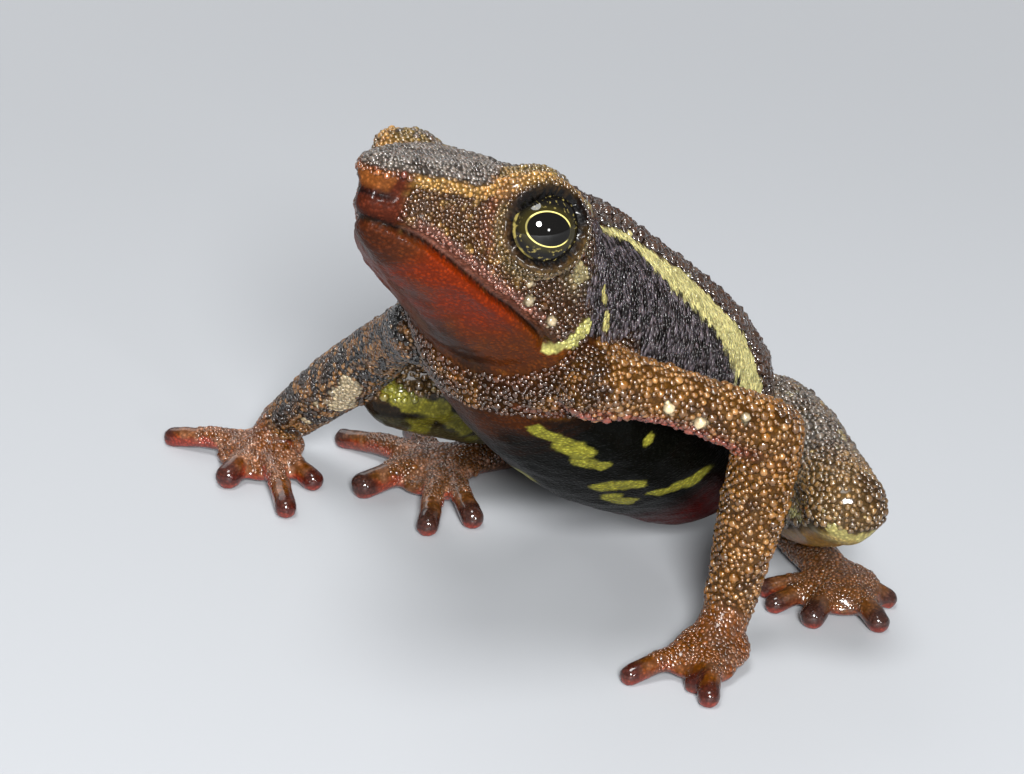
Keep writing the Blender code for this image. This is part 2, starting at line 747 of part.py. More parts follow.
def build_leg(nodes, label, hip, knee, heel, pad, digits, cutters):
    """Thigh, shank and foot of one side, folded under the body."""
    bend, along = joint_plane(hip, knee, heel)
    turn, down = joint_plane(knee, heel, pad)
    nodes["thigh_" + label] = part_limb(
        [limb(bent(hip, knee, (0.0, 0.0, 0.35)), THIGH_RADII)], "thigh_" + label,
        LIMB_TRIANGLES, [(bend - along * GAP / 2, along)],
        [nodes["torso"], nodes["upper_arm_" + label], nodes["forearm_" + label]], cutters,
    )
    nodes["shank_" + label] = part_limb(
        [limb(bent(knee, heel, (0.0, 0.0, -0.35)), SHANK_RADII)], "shank_" + label,
        LIMB_TRIANGLES,
        [(bend + along * GAP / 2, -along), (turn - down * GAP / 2, down)],
        [nodes["torso"], nodes["thigh_" + label], nodes["forearm_" + label]], cutters,
    )
    nodes["foot_" + label] = part_limb(
        hand_or_foot_form(heel, pad, digits, FOOT_PAD, TARSUS_RADII),
        "foot_" + label, FOOT_TRIANGLES, [(turn + down * GAP / 2, -down)],
        [nodes["torso"], nodes["thigh_" + label], nodes["shank_" + label]], cutters, HAND_FINE,
    )


def build():
    """Build every node of the toad."""
    clear_scene()
    group = make_collection("oxapampa_stubfoot_toad")
    cutters = make_collection("cutters")
    nodes = {}
    build_head_and_torso(nodes, cutters)
    build_arm(
        nodes, "left", SHOULDER_LEFT, ELBOW_LEFT, WRIST_LEFT, HAND_LEFT_PAD, HAND_LEFT_DIGITS, cutters,
    )
    build_arm(
        nodes, "right", SHOULDER_RIGHT, ELBOW_RIGHT, WRIST_RIGHT, HAND_RIGHT_PAD,
        HAND_RIGHT_DIGITS, cutters,
    )
    build_leg(nodes, "left", HIP_LEFT, KNEE_LEFT, HEEL_LEFT, FOOT_LEFT_PAD, FOOT_LEFT_DIGITS, cutters)
    build_leg(
        nodes, "right", HIP_RIGHT, KNEE_RIGHT, HEEL_RIGHT, FOOT_RIGHT_PAD, FOOT_RIGHT_DIGITS, cutters,
    )
    kinds = {"head": "head", "torso": "torso", "eye": "eye", "upper_arm": "arm", "forearm": "arm",
             "hand": "digit", "thigh": "leg", "shank": "leg", "foot": "digit"}
    shift = floor_shift(nodes)
    for name, shape in nodes.items():
        stem = name.replace("_left", "").replace("_right", "")
        colour, roughness = FINISHES[kinds[stem]]
        add_node(name, shape, make_material("finish_" + name, colour, roughness), group, shift)


build()
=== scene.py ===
"""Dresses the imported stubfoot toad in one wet, granular skin with its warts and gold-ringed eyes.

All sizes are in millimetres in the toad's own frame, where it faces -Y, its left side is +X and
the floor is z = 0.  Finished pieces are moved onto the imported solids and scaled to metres.
"""
import logging
import math
from dataclasses import dataclass
from enum import Enum

import bmesh
import bpy
import numpy as np
from mathutils import Matrix, Vector, noise
from mathutils.bvhtree import BVHTree


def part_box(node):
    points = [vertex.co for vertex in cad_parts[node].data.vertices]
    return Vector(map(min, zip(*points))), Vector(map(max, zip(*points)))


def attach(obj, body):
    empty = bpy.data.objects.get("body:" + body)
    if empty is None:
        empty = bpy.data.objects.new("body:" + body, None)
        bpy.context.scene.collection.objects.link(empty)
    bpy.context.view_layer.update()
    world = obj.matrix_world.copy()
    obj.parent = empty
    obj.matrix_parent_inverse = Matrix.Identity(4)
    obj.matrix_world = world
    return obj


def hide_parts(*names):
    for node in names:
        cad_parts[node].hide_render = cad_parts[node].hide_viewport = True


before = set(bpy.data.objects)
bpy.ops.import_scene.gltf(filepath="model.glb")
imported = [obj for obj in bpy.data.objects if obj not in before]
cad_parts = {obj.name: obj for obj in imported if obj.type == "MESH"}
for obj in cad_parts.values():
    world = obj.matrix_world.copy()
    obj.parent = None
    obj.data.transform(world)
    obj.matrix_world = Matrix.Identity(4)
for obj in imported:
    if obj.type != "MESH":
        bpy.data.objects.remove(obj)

MM = 0.001
SEED = 41
BODY = "root"
LOG = logging.getLogger("toad")

Place = tuple[float, float, float]
Tuples = tuple[tuple[float, ...], ...]


def linear(red: int, green: int, blue: int) -> Place:
    """A screen colour from 0 to 255 as linear light."""
    return tuple(
        part / 12.92 if part <= 0.04045 else ((part + 0.055) / 1.055) ** 2.4
        for part in (red / 255, green / 255, blue / 255)
    )


class Tint(Enum):
    """The named colours of the toad's skin."""

    HEAD_TOP = linear(124, 112, 102)
    BROW = linear(206, 154, 74)
    BROW_EDGE = linear(176, 108, 52)
    SNOUT_PATCH = linear(160, 92, 42)
    SNOUT_DARK = linear(40, 18, 14)
    SNOUT_RED = linear(104, 44, 24)
    LORE = linear(98, 60, 20)
    GOLD = linear(182, 136, 66)
    LIP = linear(160, 100, 80)
    MOUTH = linear(14, 7, 6)
    JAW_RED = linear(156, 50, 3)
    THROAT = linear(122, 56, 8)
    THROAT_EDGE = linear(58, 30, 14)
    THROAT_PAINTED_HIGHLIGHT = linear(196, 104, 20)
    CHIN = linear(100, 46, 20)
    CHEEK = linear(80, 46, 16)
    CHEEK_TAN = linear(166, 150, 104)
    MOUND = linear(140, 112, 52)
    HEAD_TOP_DARK = linear(72, 58, 46)
    HAND_PALE = linear(222, 156, 118)
    LID_DARK = linear(9, 7, 6)
    LID_FOLD = linear(130, 106, 58)
    FLANK = linear(24, 17, 15)
    FLANK_GRAIN = linear(98, 88, 93)
    BACK = linear(74, 50, 34)
    BACK_GRAIN = linear(104, 92, 84)
    STRIPE = linear(228, 216, 144)
    MARK = linear(232, 224, 130)
    CREAM = linear(224, 200, 158)
    CHEST = linear(100, 48, 12)
    BELLY = linear(9, 10, 5)
    BELLY_SPOT = linear(186, 180, 66)
    VENT_RED = linear(104, 16, 10)
    ARM = linear(144, 92, 24)
    ARM_LIGHT = linear(190, 136, 74)
    ARM_DARK = linear(76, 44, 12)
    ARM_RED = linear(156, 70, 48)
    ARM_SHADE = linear(20, 13, 8)
    SHOULDER_GREY_AND_SHEEN = linear(82, 74, 68)
    HAND = linear(130, 70, 10)
    PALM_RED = linear(190, 62, 44)
    TIP = linear(84, 32, 26)
    LEG = linear(118, 104, 90)
    KNEE = linear(140, 104, 54)
    LEG_PALE = linear(214, 200, 124)
    LEG_ORANGE = linear(214, 138, 36)
    LEG_DARK = linear(22, 18, 11)
    LEG_GREEN = linear(176, 168, 56)
    FOOT = linear(124, 74, 28)
    FOOT_TIP = linear(74, 44, 40)


DEPTH = 0.37
# Painted shade: the share of colour kept on bare skin between tall granules.
SHADE_BETWEEN_GRANULES = 0.52
LONGEST_MARK = 3.0


def tint(name: Tint) -> np.ndarray:
    """A named colour as an array, deepened because the studio is bright."""
    return np.array(name.value) * DEPTH


def ramp(low: float, high: float, value: np.ndarray) -> np.ndarray:
    """A smooth step from 0 at low to 1 at high."""
    share = np.clip((value - low) / (high - low), 0.0, 1.0)
    return share * share * (3.0 - 2.0 * share)


def hump(middle: float, half_width: float, value: np.ndarray) -> np.ndarray:
    """A smooth hump of height 1 at the middle."""
    return np.exp(-(((value - middle) / half_width) ** 2))


def mixed(under: np.ndarray, over: np.ndarray, share: np.ndarray) -> np.ndarray:
    """The two colours blended by a share for each point."""
    return under + (over - under) * np.clip(share, 0.0, 1.0)[:, None]


class Coat:
    """The colours of many points, built up layer over layer."""

    def __init__(self, count: int, base: Tint) -> None:
        """Start with one tint everywhere."""
        self.colour = np.tile(tint(base), (count, 1))

    def over(self, layer: "Tint | Coat", share: np.ndarray) -> "Coat":
        """This coat with a tint or another coat over it, by a share for each point."""
        top = tint(layer) if isinstance(layer, Tint) else layer.colour
        self.colour = mixed(self.colour, top, share)
        return self


def as_array(vector: Vector) -> np.ndarray:
    """A vector as an array."""
    return np.array(tuple(vector))


def cloud(points: np.ndarray, size: float, shift: float = 0.0) -> np.ndarray:
    """Smooth noise from -1 to 1 with lumps of about the given size."""
    offset = Vector((shift, shift * 0.7, -shift))
    return np.array([noise.noise(Vector(point) / size + offset) for point in points])


def between(before: np.ndarray, start: np.ndarray, end: np.ndarray, after: np.ndarray,
            rest: float) -> np.ndarray:
    """The value a share of the way from start to end, on a smooth curve through all four."""
    cube, square = rest ** 3, rest ** 2
    return (
        start * (2 * cube - 3 * square + 1)
        + 0.5 * (end - before) * (cube - 2 * square + rest)
        + end * (3 * square - 2 * cube)
        + 0.5 * (after - start) * (cube - square)
    )


def spline(values: np.ndarray, share: float) -> np.ndarray:
    """A smooth curve through evenly spaced values.

    Args:
        values: the values, one row each.
        share: how far along, from 0 to 1.

    Returns:
        The value there.
    """
    table = np.asarray(values, dtype=float)
    count = len(table) - 1
    place = min(max(share, 0.0), 1.0) * count
    step = min(int(place), count - 1)
    steps = (max(step - 1, 0), step, step + 1, min(step + 2, count))
    return between(*(table[index] for index in steps), place - step)


def curve(values: np.ndarray, steps: int) -> np.ndarray:
    """Places at even steps along a smooth curve through evenly spaced values."""
    return np.array([spline(values, step / steps) for step in range(steps + 1)])


def closed_spline(points: np.ndarray, share: float) -> np.ndarray:
    """A smooth closed curve through the points, read at a share of the way round."""
    count = len(points)
    place = (share % 1.0) * count
    step = int(place)
    return between(*(points[(step + shift) % count] for shift in (-1, 0, 1, 2)), place - step)


def squared_gaps(points: np.ndarray, route: np.ndarray) -> np.ndarray:
    """The square of how far each point lies from each place of a route."""
    return ((points[:, None, :] - route[None]) ** 2).sum(axis=2)


def from_line(points: np.ndarray, start: np.ndarray, end: np.ndarray) -> np.ndarray:
    """How far points lie from the straight line between two places."""
    run = end - start
    share = np.clip(((points - start) @ run) / max(float(run @ run), 1e-9), 0.0, 1.0)
    return np.linalg.norm(points - start - share[:, None] * run, axis=1)


def pulled_sphere(around: int, along: int, place) -> bmesh.types.BMesh:
    """A closed form from a sphere whose rows become stations along a length.

    Args:
        around: corners round the form.
        along: rows from end to end.
        place: gives the place of a station (0 to 1) and a turn (radians).

    Returns:
        The form.
    """
    shape = bmesh.new()
    bmesh.ops.create_uvsphere(shape, u_segments=around, v_segments=along, radius=1.0)
    for vert in shape.verts:
        station = math.acos(min(max(vert.co.z, -1.0), 1.0)) / math.pi
        vert.co = place(station, math.atan2(vert.co.y, vert.co.x))
    bmesh.ops.recalc_face_normals(shape, faces=shape.faces)
    return shape


def egg(middle: Vector, axes: tuple[Vector, ...], sizes: Place, around: int = 24) -> bmesh.types.BMesh:
    """An ellipsoid with the given axes and half sizes."""
    shape = bmesh.new()
    bmesh.ops.create_uvsphere(shape, u_segments=around, v_segments=around // 2, radius=1.0)
    for vert in shape.verts:
        reach = (axis * size * part for axis, size, part in zip(axes, sizes, vert.co))
        vert.co = middle + sum(reach, Vector((0.0, 0.0, 0.0)))
    bmesh.ops.recalc_face_normals(shape, faces=shape.faces)
    return shape


def ball(middle: Vector, radius: float, around: int = 24) -> bmesh.types.BMesh:
    """A ball."""
    shape = bmesh.new()
    bmesh.ops.create_uvsphere(shape, u_segments=around, v_segments=around // 2, radius=radius)
    bmesh.ops.translate(shape, verts=shape.verts, vec=middle)
    return shape


@dataclass(frozen=True)
class HeadFrame:
    """The head's own frame: forward along the snout, out to the toad's left, and up."""

    middle: Place = (-0.30, -16.10, 16.40)
    yaw: float = math.radians(1.0)
    pitch: float = math.radians(21.7)

    def axes(self) -> tuple[Vector, Vector, Vector]:
        """The directions forward, left and up."""
        forward = Vector((
            -math.sin(self.yaw) * math.cos(self.pitch),
            -math.cos(self.yaw) * math.cos(self.pitch),
            math.sin(self.pitch),
        ))
        left = Vector((math.cos(self.yaw), -math.sin(self.yaw), 0.0))
        return forward, left, forward.cross(left)

    def point(self, forward: float, left: float, up: float) -> Vector:
        """A place in the head's frame as one in the toad's frame."""
        return Vector(self.middle) + self.direction(forward, left, up)

    def direction(self, forward: float, left: float, up: float) -> Vector:
        """A direction in the head's frame as one in the toad's frame."""
        ahead, out, rise = self.axes()
        return ahead * forward + out * left + rise * up

    def local(self, points: np.ndarray) -> np.ndarray:
        """Places in the toad's frame as forward, left and up, one column each."""
        turn = np.array([tuple(axis) for axis in self.axes()])
        return ((points - np.array(self.middle)) @ turn.T).T


HEAD = HeadFrame()


@dataclass(frozen=True)
class EyeSeat:
    """Where an eyeball sits and how its lids lie round it; side is 1 for left, -1 for right."""

    side: int
    ring_middle: Place = (0.10, 3.20, 0.0)
    look: Place = (0.62, 0.78, 0.06)
    sink: float = 0.65
    radius: float = 1.38
    cover: float = 0.26
    opening: float = 1.20

    def direction(self) -> Vector:
        """The way the eye looks."""
        forward, out, up = self.look
        return HEAD.direction(forward, out * self.side, up).normalized()

    def middle(self) -> Vector:
        """The middle of the eyeball."""
        forward, out, up = self.ring_middle
        return HEAD.point(forward, out * self.side, up) - self.direction() * self.sink

    def around(self, points: np.ndarray) -> tuple[np.ndarray, ...]:
        """Where points lie about the eye.

        Args:
            points: places in the toad's frame.

        Returns:
            The offset from the eyeball's middle, how far ahead of it and how far beside its axis
            that is, and how far forward and up it leans, from -1 to 1.
        """
        away = points - as_array(self.middle())
        look = as_array(self.direction())
        ahead = away @ look
        ray = away - ahead[:, None] * look
        beside = np.linalg.norm(ray, axis=1)
        fore, _, rise = ((ray @ as_array(axis)) / np.maximum(beside, 1e-6) for axis in HEAD.axes())
        return away, ahead, beside, fore, rise


SEATS = (EyeSeat(1), EyeSeat(-1))


LEFT_SHOULDER: Place = (3.30, -13.60, 10.60)
RIGHT_SHOULDER: Place = (-4.00, -12.90, 10.20)
LEFT_ELBOW: Place = (7.05, -8.45, 8.15)
RIGHT_ELBOW: Place = (-9.20, -8.95, 6.50)
LEFT_WRIST: Place = (6.05, -8.75, 1.45)
RIGHT_WRIST: Place = (-15.10, -6.65, 1.50)
LEFT_HIP: Place = (1.75, 0.55, 4.50)
RIGHT_HIP: Place = (-1.75, 0.55, 4.50)
LEFT_KNEE: Place = (9.30, -7.00, 5.70)
RIGHT_KNEE: Place = (-9.45, -7.15, 4.50)
LEFT_HEEL: Place = (1.90, 0.30, 1.10)
RIGHT_HEEL: Place = (-6.60, 2.00, 1.10)


@dataclass(frozen=True)
class Grain:
    """The granules of one stretch of skin: radius, and height as a share of it."""

    radius: float
    height: float


FINE_GRAIN = Grain(0.095, 0.60)


class Region:
    """A stretch of the toad that makes its own form and paints its own skin."""

    grain = Grain(0.14, 0.8)

    def forms(self) -> list[bmesh.types.BMesh]:
        """The closed forms that the skin is drawn over."""
        raise NotImplementedError

    def nearness(self, points: np.ndarray) -> np.ndarray:
        """About how far each point lies outside this form, in millimetres."""
        raise NotImplementedError

    def paint(self, points: np.ndarray, normals: np.ndarray) -> np.ndarray:
        """The colour of each point."""
        raise NotImplementedError


@dataclass
class Trunk(Region):
    """Trunk and head as one length from the vent to the snout, with shoulders, hips and brows."""

    trunk_sections: Tuples = (
        (1.96, 4.40, 1.85, 3.50, 0.45, 0.05),
        (1.72, 5.30, 1.55, 2.70, 0.75, 0.05),
        (1.09, 6.49, 0.70, 1.85, 1.30, 0.05),
        (-0.05, 7.99, -1.10, 1.15, 2.10, 0.00),
        (-1.80, 9.55, -3.60, 1.05, 3.30, -0.05),
        (-3.90, 11.10, -6.60, 2.40, 4.06, -0.10),
        (-6.10, 12.61, -9.50, 3.90, 4.35, -0.15),
        (-8.20, 14.13, -12.10, 5.80, 4.20, -0.25),
        (-9.90, 15.12, -14.00, 7.60, 3.90, -0.30),
        (-11.30, 15.74, -15.20, 9.20, 3.62, -0.30),
    )
    head_sections: Tuples = (
        (-2.80, 1.42, 2.65, 0.95, 3.45, -2.51, 2.80, -4.20, -5.00),
        (-1.20, 1.34, 2.60, 1.15, 2.78, -2.85, 2.32, -3.62, -4.53),
        (0.60, 1.43, 2.42, 1.10, 2.47, -2.40, 1.95, -2.97, -3.63),
        (2.20, 1.26, 2.05, 0.94, 2.00, -1.75, 1.52, -2.48, -2.91),
        (3.50, 1.10, 1.58, 0.84, 1.38, -1.22, 0.99, -1.94, -2.35),
        (4.45, 0.96, 1.02, 0.78, 0.74, -1.05, 0.56, -1.51, -1.84),
        (4.98, 0.84, 0.66, 0.68, 0.44, -0.72, 0.28, -1.11, -1.30),
        (5.30, 0.52, 0.30, 0.42, 0.28, -0.15, 0.18, -0.50, -0.62),
    )
    upper: tuple[float, float] = (0.80, 0.64)
    lower: tuple[float, float] = (0.78, 0.66)
    shoulders: tuple[Place, Place] = (LEFT_SHOULDER, RIGHT_SHOULDER)
    shoulder_inset: Place = (-0.25, 0.55, -0.15)
    shoulder_ball: float = 1.35
    hips: tuple[Place, Place] = (LEFT_HIP, RIGHT_HIP)
    hip_ball: float = 1.25
    trunk_steps: int = 48
    brow_steps: int = 40
    mouth_steps: int = 90
    brow_middle: Place = (-0.05, 2.56, 0.82)
    brow_sizes: Place = (1.66, 1.12, 1.02)
    mouth_line: Tuples = (
        (4.85, 0.00, -1.02),
        (4.50, 0.55, -1.05),
        (3.50, 1.35, -1.22),
        (2.20, 2.00, -1.75),
        (0.60, 2.46, -2.40),
        (-0.60, 2.64, -2.74),
        (-1.60, 2.75, -3.15),
        (-2.30, 2.84, -3.55),
    )
    brow_line: Tuples = (
        (5.10, 0.50, 0.34),
        (4.31, 1.12, 0.46),
        (3.42, 1.66, 0.54),
        (2.27, 2.13, 0.64),
        (1.53, 2.42, 0.98),
        (0.87, 2.95, 1.38),
        (-0.06, 3.40, 1.50),
        (-0.90, 3.45, 1.18),
    )
    stripe: Tuples = (
        (0.40, 104.0, 0.5),
        (0.47, 92.0, 9.0),
        (0.52, 79.0, 15.0),
        (0.56, 70.0, 16.0),
        (0.60, 63.0, 14.5),
        (0.65, 54.0, 13.0),
        (0.70, 50.0, 10.5),
        (0.75, 48.5, 9.5),
        (0.80, 47.5, 8.0),
        (0.85, 44.5, 6.0),
        (0.90, 38.0, 3.0),
        (1.00, 40.0, 1.6),
    )

    def outlines(self) -> np.ndarray:
        """Eight outline points of every section from the vent to the snout."""
        rows = []
        for back_y, back_z, belly_y, belly_z, half_width, middle_x in self.trunk_sections:
            middle = Vector((middle_x, 0.5 * (back_y + belly_y), 0.5 * (back_z + belly_z)))
            rise = Vector((0.0, 0.5 * (back_y - belly_y), 0.5 * (back_z - belly_z)))
            out = Vector((half_width, 0.0, 0.0))
            upper, lower = rise * self.upper[1], rise * self.lower[1]
            rows.append((
                middle + rise, middle + upper + out * self.upper[0], middle + out,
                middle - lower + out * self.lower[0], middle - rise,
                middle - lower - out * self.lower[0], middle - out, middle + upper - out * self.upper[0],
            ))
        for section in self.head_sections:
            forward, top, brow_out, brow_up, lip_out, lip_up, jaw_out, jaw_up, throat = section
            outline = (
                (0.0, top), (brow_out, brow_up), (lip_out, lip_up), (jaw_out, jaw_up), (0.0, throat),
                (-jaw_out, jaw_up), (-lip_out, lip_up), (-brow_out, brow_up),
            )
            rows.append([HEAD.point(forward, out, up) for out, up in outline])
        return np.array([[tuple(point) for point in row] for row in rows])

    def loft(self) -> bmesh.types.BMesh:
        """The length from the vent to the snout."""
        outlines = self.outlines()

        def place(station: float, turn: float) -> Vector:
            row = spline(outlines, station)
            if station in (0.0, 1.0):
                return Vector(row.mean(axis=0))
            return Vector(closed_spline(row, 0.25 - turn / math.tau))

        return pulled_sphere(96, 150, place)

    def forms(self) -> list[bmesh.types.BMesh]:
        """Trunk, shoulders, hips, brows and the covers of the eyes."""
        pieces = [self.loft()]
        for x, y, z in self.shoulders:
            in_x, in_y, in_z = self.shoulder_inset
            middle = Vector((x + in_x * math.copysign(1.0, x), y + in_y, z + in_z))
            pieces.append(ball(middle, self.shoulder_ball))
        pieces += [ball(Vector(hip), self.hip_ball) for hip in self.hips]
        for seat in SEATS:
            forward, out, up = self.brow_middle
            pieces.append(egg(HEAD.point(forward, out * seat.side, up), HEAD.axes(), self.brow_sizes))
            pieces.append(ball(seat.middle(), seat.radius + seat.cover, 32))
        return pieces

    def stations(self, points: np.ndarray) -> tuple[np.ndarray, np.ndarray, np.ndarray]:
        """Where points lie on the trunk.

        Args:
            points: places in the toad's frame.

        Returns:
            The share from vent (0) to neck (1), the angle from the back's ridge in degrees
            (180 at the belly) and the distance outside the trunk.
        """
        fine = curve(self.trunk_sections, self.trunk_steps)
        middles = np.stack([fine[:, 5], (fine[:, 0] + fine[:, 2]) / 2, (fine[:, 1] + fine[:, 3]) / 2], 1)
        lean, tall = (fine[:, 0] - fine[:, 2]) / 2, (fine[:, 1] - fine[:, 3]) / 2
        rises = np.stack([np.zeros(len(fine)), lean, tall], 1)
        halves = np.linalg.norm(rises, axis=1)
        headings = np.cross(rises / halves[:, None], (1.0, 0.0, 0.0))
        away = np.abs(points @ headings.T - (middles * headings).sum(axis=1))
        best = away.argmin(axis=1)
        offset = points - middles[best]
        high = (offset * rises[best]).sum(axis=1) / halves[best] ** 2
        out = offset[:, 0] / fine[best, 4]
        angle = np.degrees(np.arctan2(np.abs(out), high))
        size = np.sqrt(halves[best] * fine[best, 4])
        gap = (np.hypot(high, out) - 1.0) * size
        return best / self.trunk_steps, angle, gap

    def stripe_at(self, station: np.ndarray) -> tuple[np.ndarray, np.ndarray]:
        """The angles of the pale stripe's middle and half width at places along the trunk."""
        places, middles, halves = np.array(self.stripe).T
        return np.interp(station, places, middles), np.interp(station, places, halves)

    def headness(self, points: np.ndarray) -> np.ndarray:
        """1 on the head, 0 on the trunk."""
        return ramp(-3.6, -2.4, HEAD.local(points)[0])

    def nearness(self, points: np.ndarray) -> np.ndarray:
        """About how far each point lies outside the trunk and head."""
        gap = self.stations(points)[2]
        forward, _, up = HEAD.local(points)
        on_head = (forward > -4.0) & (up > -5.5)
        return np.where(on_head, np.minimum(gap, -0.3), gap)

    def mouth_up(self, forward: np.ndarray) -> np.ndarray:
        """The height of the mouth line at a place along the head."""
        line = np.array(self.mouth_line)[::-1]
        return np.interp(forward, line[:, 0], line[:, 2])

    def brow_distance(self, forward: np.ndarray, left: np.ndarray, up: np.ndarray) -> np.ndarray:
        """How far points lie from the ridge that runs from the snout over the eye."""
        here = np.stack([forward, np.abs(left), up], 1)
        return np.sqrt(squared_gaps(here, curve(self.brow_line, self.brow_steps))).min(axis=1)

    def paint_head(self, points: np.ndarray, normals: np.ndarray) -> np.ndarray:
        """The colours of the head."""
        forward, left, up = HEAD.local(points)
        side = np.abs(left)
        rise = normals @ as_array(HEAD.axes()[2])
        below = self.mouth_up(forward) - up
        patchy = cloud(points, 0.8)
        fine = cloud(points, 0.28, 9.0)

        coat = Coat(len(points), Tint.LORE)
        coat.over(Tint.GOLD, ramp(0.1, 0.5, fine + 0.3 * patchy) * 0.7)
        coat.over(Tint.CHEEK, ramp(0.2, -0.9, forward + 0.4 * patchy) * 0.9)
        tan = hump(-2.7, 0.7, forward) * hump(-1.0, 0.7, up)
        coat.over(Tint.CHEEK_TAN, tan * ramp(-0.4, 0.4, patchy + fine) * 0.9)
        ridge_up = np.interp(forward, *np.array(self.brow_line)[::-1][:, [0, 2]].T)
        top = ramp(0.10, 0.30, up - ridge_up + 0.10 * patchy) * ramp(0.05, 0.45, rise)
        top = np.maximum(top, ramp(2.1, 1.5, side + 0.2 * patchy) * ramp(0.45, 0.75, rise))
        crown = Coat(len(points), Tint.HEAD_TOP).over(Tint.HEAD_TOP_DARK, ramp(0.0, 0.5, fine + patchy))
        coat.over(crown, top)
        reach = np.stack([forward, side, up], 1) - np.array(self.brow_middle)
        dome = ((reach / np.array(self.brow_sizes)) ** 2).sum(axis=1)
        mound = (1.0 - ramp(1.15, 1.40, dome)) * ramp(-0.1, 0.2, reach[:, 2])
        coat.over(Tint.MOUND, mound * ramp(-0.5, 0.1, patchy + fine))
        brow = self.brow_distance(forward, left, up)
        wide = np.where(forward < 1.8, 0.30, 0.17)
        band = 1.0 - ramp(0.8, 1.5, brow / wide + 0.35 * patchy)
        band *= np.where(forward < 1.2, ramp(2.45, 2.95, side), 0.85)
        coat.over(Tint.BROW, band)
        coat.over(Tint.BROW_EDGE, band * ramp(0.1, 0.5, fine) * 0.4)
        self.paint_lids(points, coat)

        lip = (1.0 - ramp(0.30, 0.55, -below)) * ramp(-2.4, -0.6, forward) * (below < 0.05)
        coat.over(Tint.LIP, lip * (1.0 - ramp(3.6, 4.4, forward)))
        jaw = ramp(0.04, 0.16, below)
        coat.over(Tint.THROAT, jaw)
        middle = 1.0 - ramp(0.3, 1.1, side + 0.3 * patchy)
        edge = jaw * np.maximum(ramp(1.5, 2.2, below + 0.4 * patchy), middle)
        coat.over(Tint.THROAT_EDGE, edge * 0.85)
        red = jaw * (1.0 - ramp(0.8, 1.5, below + 0.3 * patchy)) * ramp(-1.8, 0.4, forward)
        coat.over(Tint.JAW_RED, red * (1.0 - ramp(2.9, 3.9, forward)))
        # Painted highlight: an orange glow in patches low on the throat.
        glow = jaw * ramp(1.0, 1.8, below) * ramp(0.15, 0.55, patchy + 0.3 * fine)
        glow = glow * ramp(3.4, 2.4, forward)
        coat.over(Tint.THROAT_PAINTED_HIGHLIGHT, glow * 0.55)
        coat.over(Tint.CHIN, jaw * ramp(3.2, 4.2, forward) * (0.8 + 0.3 * patchy))
        snout = ramp(4.30, 4.75, forward + 0.30 * np.abs(np.minimum(up, 0.0)))
        snout = snout * (below < 0.0) * (1.0 - top)
        coat.over(Tint.SNOUT_RED, snout)
        coat.over(Tint.SNOUT_DARK, ramp(4.6, 4.9, forward) * hump(-0.25, 0.16, up))
        orange = ramp(4.84, 4.98, forward) * ramp(-0.14, -0.02, up + 0.06 * fine) * ramp(0.56, 0.42, up)
        coat.over(Tint.SNOUT_PATCH, orange)
        return coat.over(Tint.MOUTH, hump(0.0, 0.10, below) * ramp(-2.3, -1.7, forward)).colour

    def paint_lids(self, points: np.ndarray, coat: Coat) -> None:
        """A dark line round each eye, with a red fold before it and an olive one below it."""
        for seat in SEATS:
            _, ahead, beside, fore, rise = seat.around(points)
            out = beside - seat.opening
            near = (ahead > 0.0) & (out < 1.2)
            upper = ramp(0.0, 0.5, rise)
            coat.over(Tint.ARM_RED, near * hump(0.55, 0.35, out) * ramp(0.3, 0.9, fore) * 0.45)
            coat.over(Tint.LID_FOLD, near * hump(0.34, 0.22, out) * ramp(0.45, 0.2, rise) * 0.8)
            # Above the eye the dark line reaches further out, as painted shade under the brow.
            dark = ramp(0.26, -0.04, out) * (1.0 - upper) + ramp(0.56, 0.10, out) * upper
            coat.over(Tint.LID_DARK, near * dark)

    def collar(self, points: np.ndarray) -> np.ndarray:
        """1 on the brown skin between the shoulders and below the jaw, 0 away from it."""
        away = from_line(points, *(np.array(shoulder) for shoulder in self.shoulders))
        high = ramp(11.4, 12.2, points[:, 2]) * ramp(-14.4, -13.6, points[:, 1])
        low = ramp(8.8, 9.4, points[:, 2])
        return ramp(3.2, 2.5, away) * (1.0 - high) * low * ramp(-11.4, -12.2, points[:, 1])

    def paint_trunk(self, points: np.ndarray) -> np.ndarray:
        """The colours of the back, flanks and belly."""
        station, angle, _ = self.stations(points)
        patchy = cloud(points, 1.3, 3.0)
        fine = cloud(points, 0.35, 5.0)
        coat = Coat(len(points), Tint.FLANK)
        coat.over(Tint.FLANK_GRAIN, ramp(0.0, 0.5, fine) * 0.6)
        middle, half = self.stripe_at(station)
        behind = station < self.stripe[0][0]
        back = np.where(behind, 1.0 - ramp(80.0, 110.0, angle), 1.0 - ramp(-4.0, 4.0, angle - middle))
        coat.over(Tint.BACK, back)
        coat.over(Tint.BACK_GRAIN, back * ramp(0.1, 0.5, fine) * 0.5)
        ragged = 3.5 * fine + 2.0 * patchy
        stripe = 1.0 - ramp(-1.6, 1.6, np.abs(angle - middle) - half - ragged)
        stripe *= (station > self.stripe[0][0]) * (half > 0.6)
        coat.over(Tint.STRIPE, stripe)
        under = ramp(96.0, 106.0, angle + 8.0 * patchy)
        # The belly's own black, made deeper still as painted shade of the underside.
        coat.over(Tint.BELLY, under)
        spots = ramp(0.22, 0.34, cloud(points, 1.5, 11.0)) * ramp(0.0, -0.6, points[:, 0])
        coat.over(Tint.BELLY_SPOT, under * spots * (1.0 - ramp(0.75, 0.9, station)))
        chest = under * ramp(0.84, 0.97, station + 0.04 * patchy)
        coat.over(Tint.CHEST, chest * (0.8 + 0.4 * patchy))
        coat.over(Tint.VENT_RED, ramp(112.0, 128.0, angle) * (1.0 - ramp(0.50, 0.60, station)))
        brown = Coat(len(points), Tint.ARM).over(Tint.ARM_DARK, ramp(-0.9, 0.0, patchy + fine))
        return coat.over(brown, self.collar(points)).colour

    def paint(self, points: np.ndarray, normals: np.ndarray) -> np.ndarray:
        """The colours of head and trunk."""
        return mixed(self.paint_trunk(points), self.paint_head(points, normals), self.headness(points))


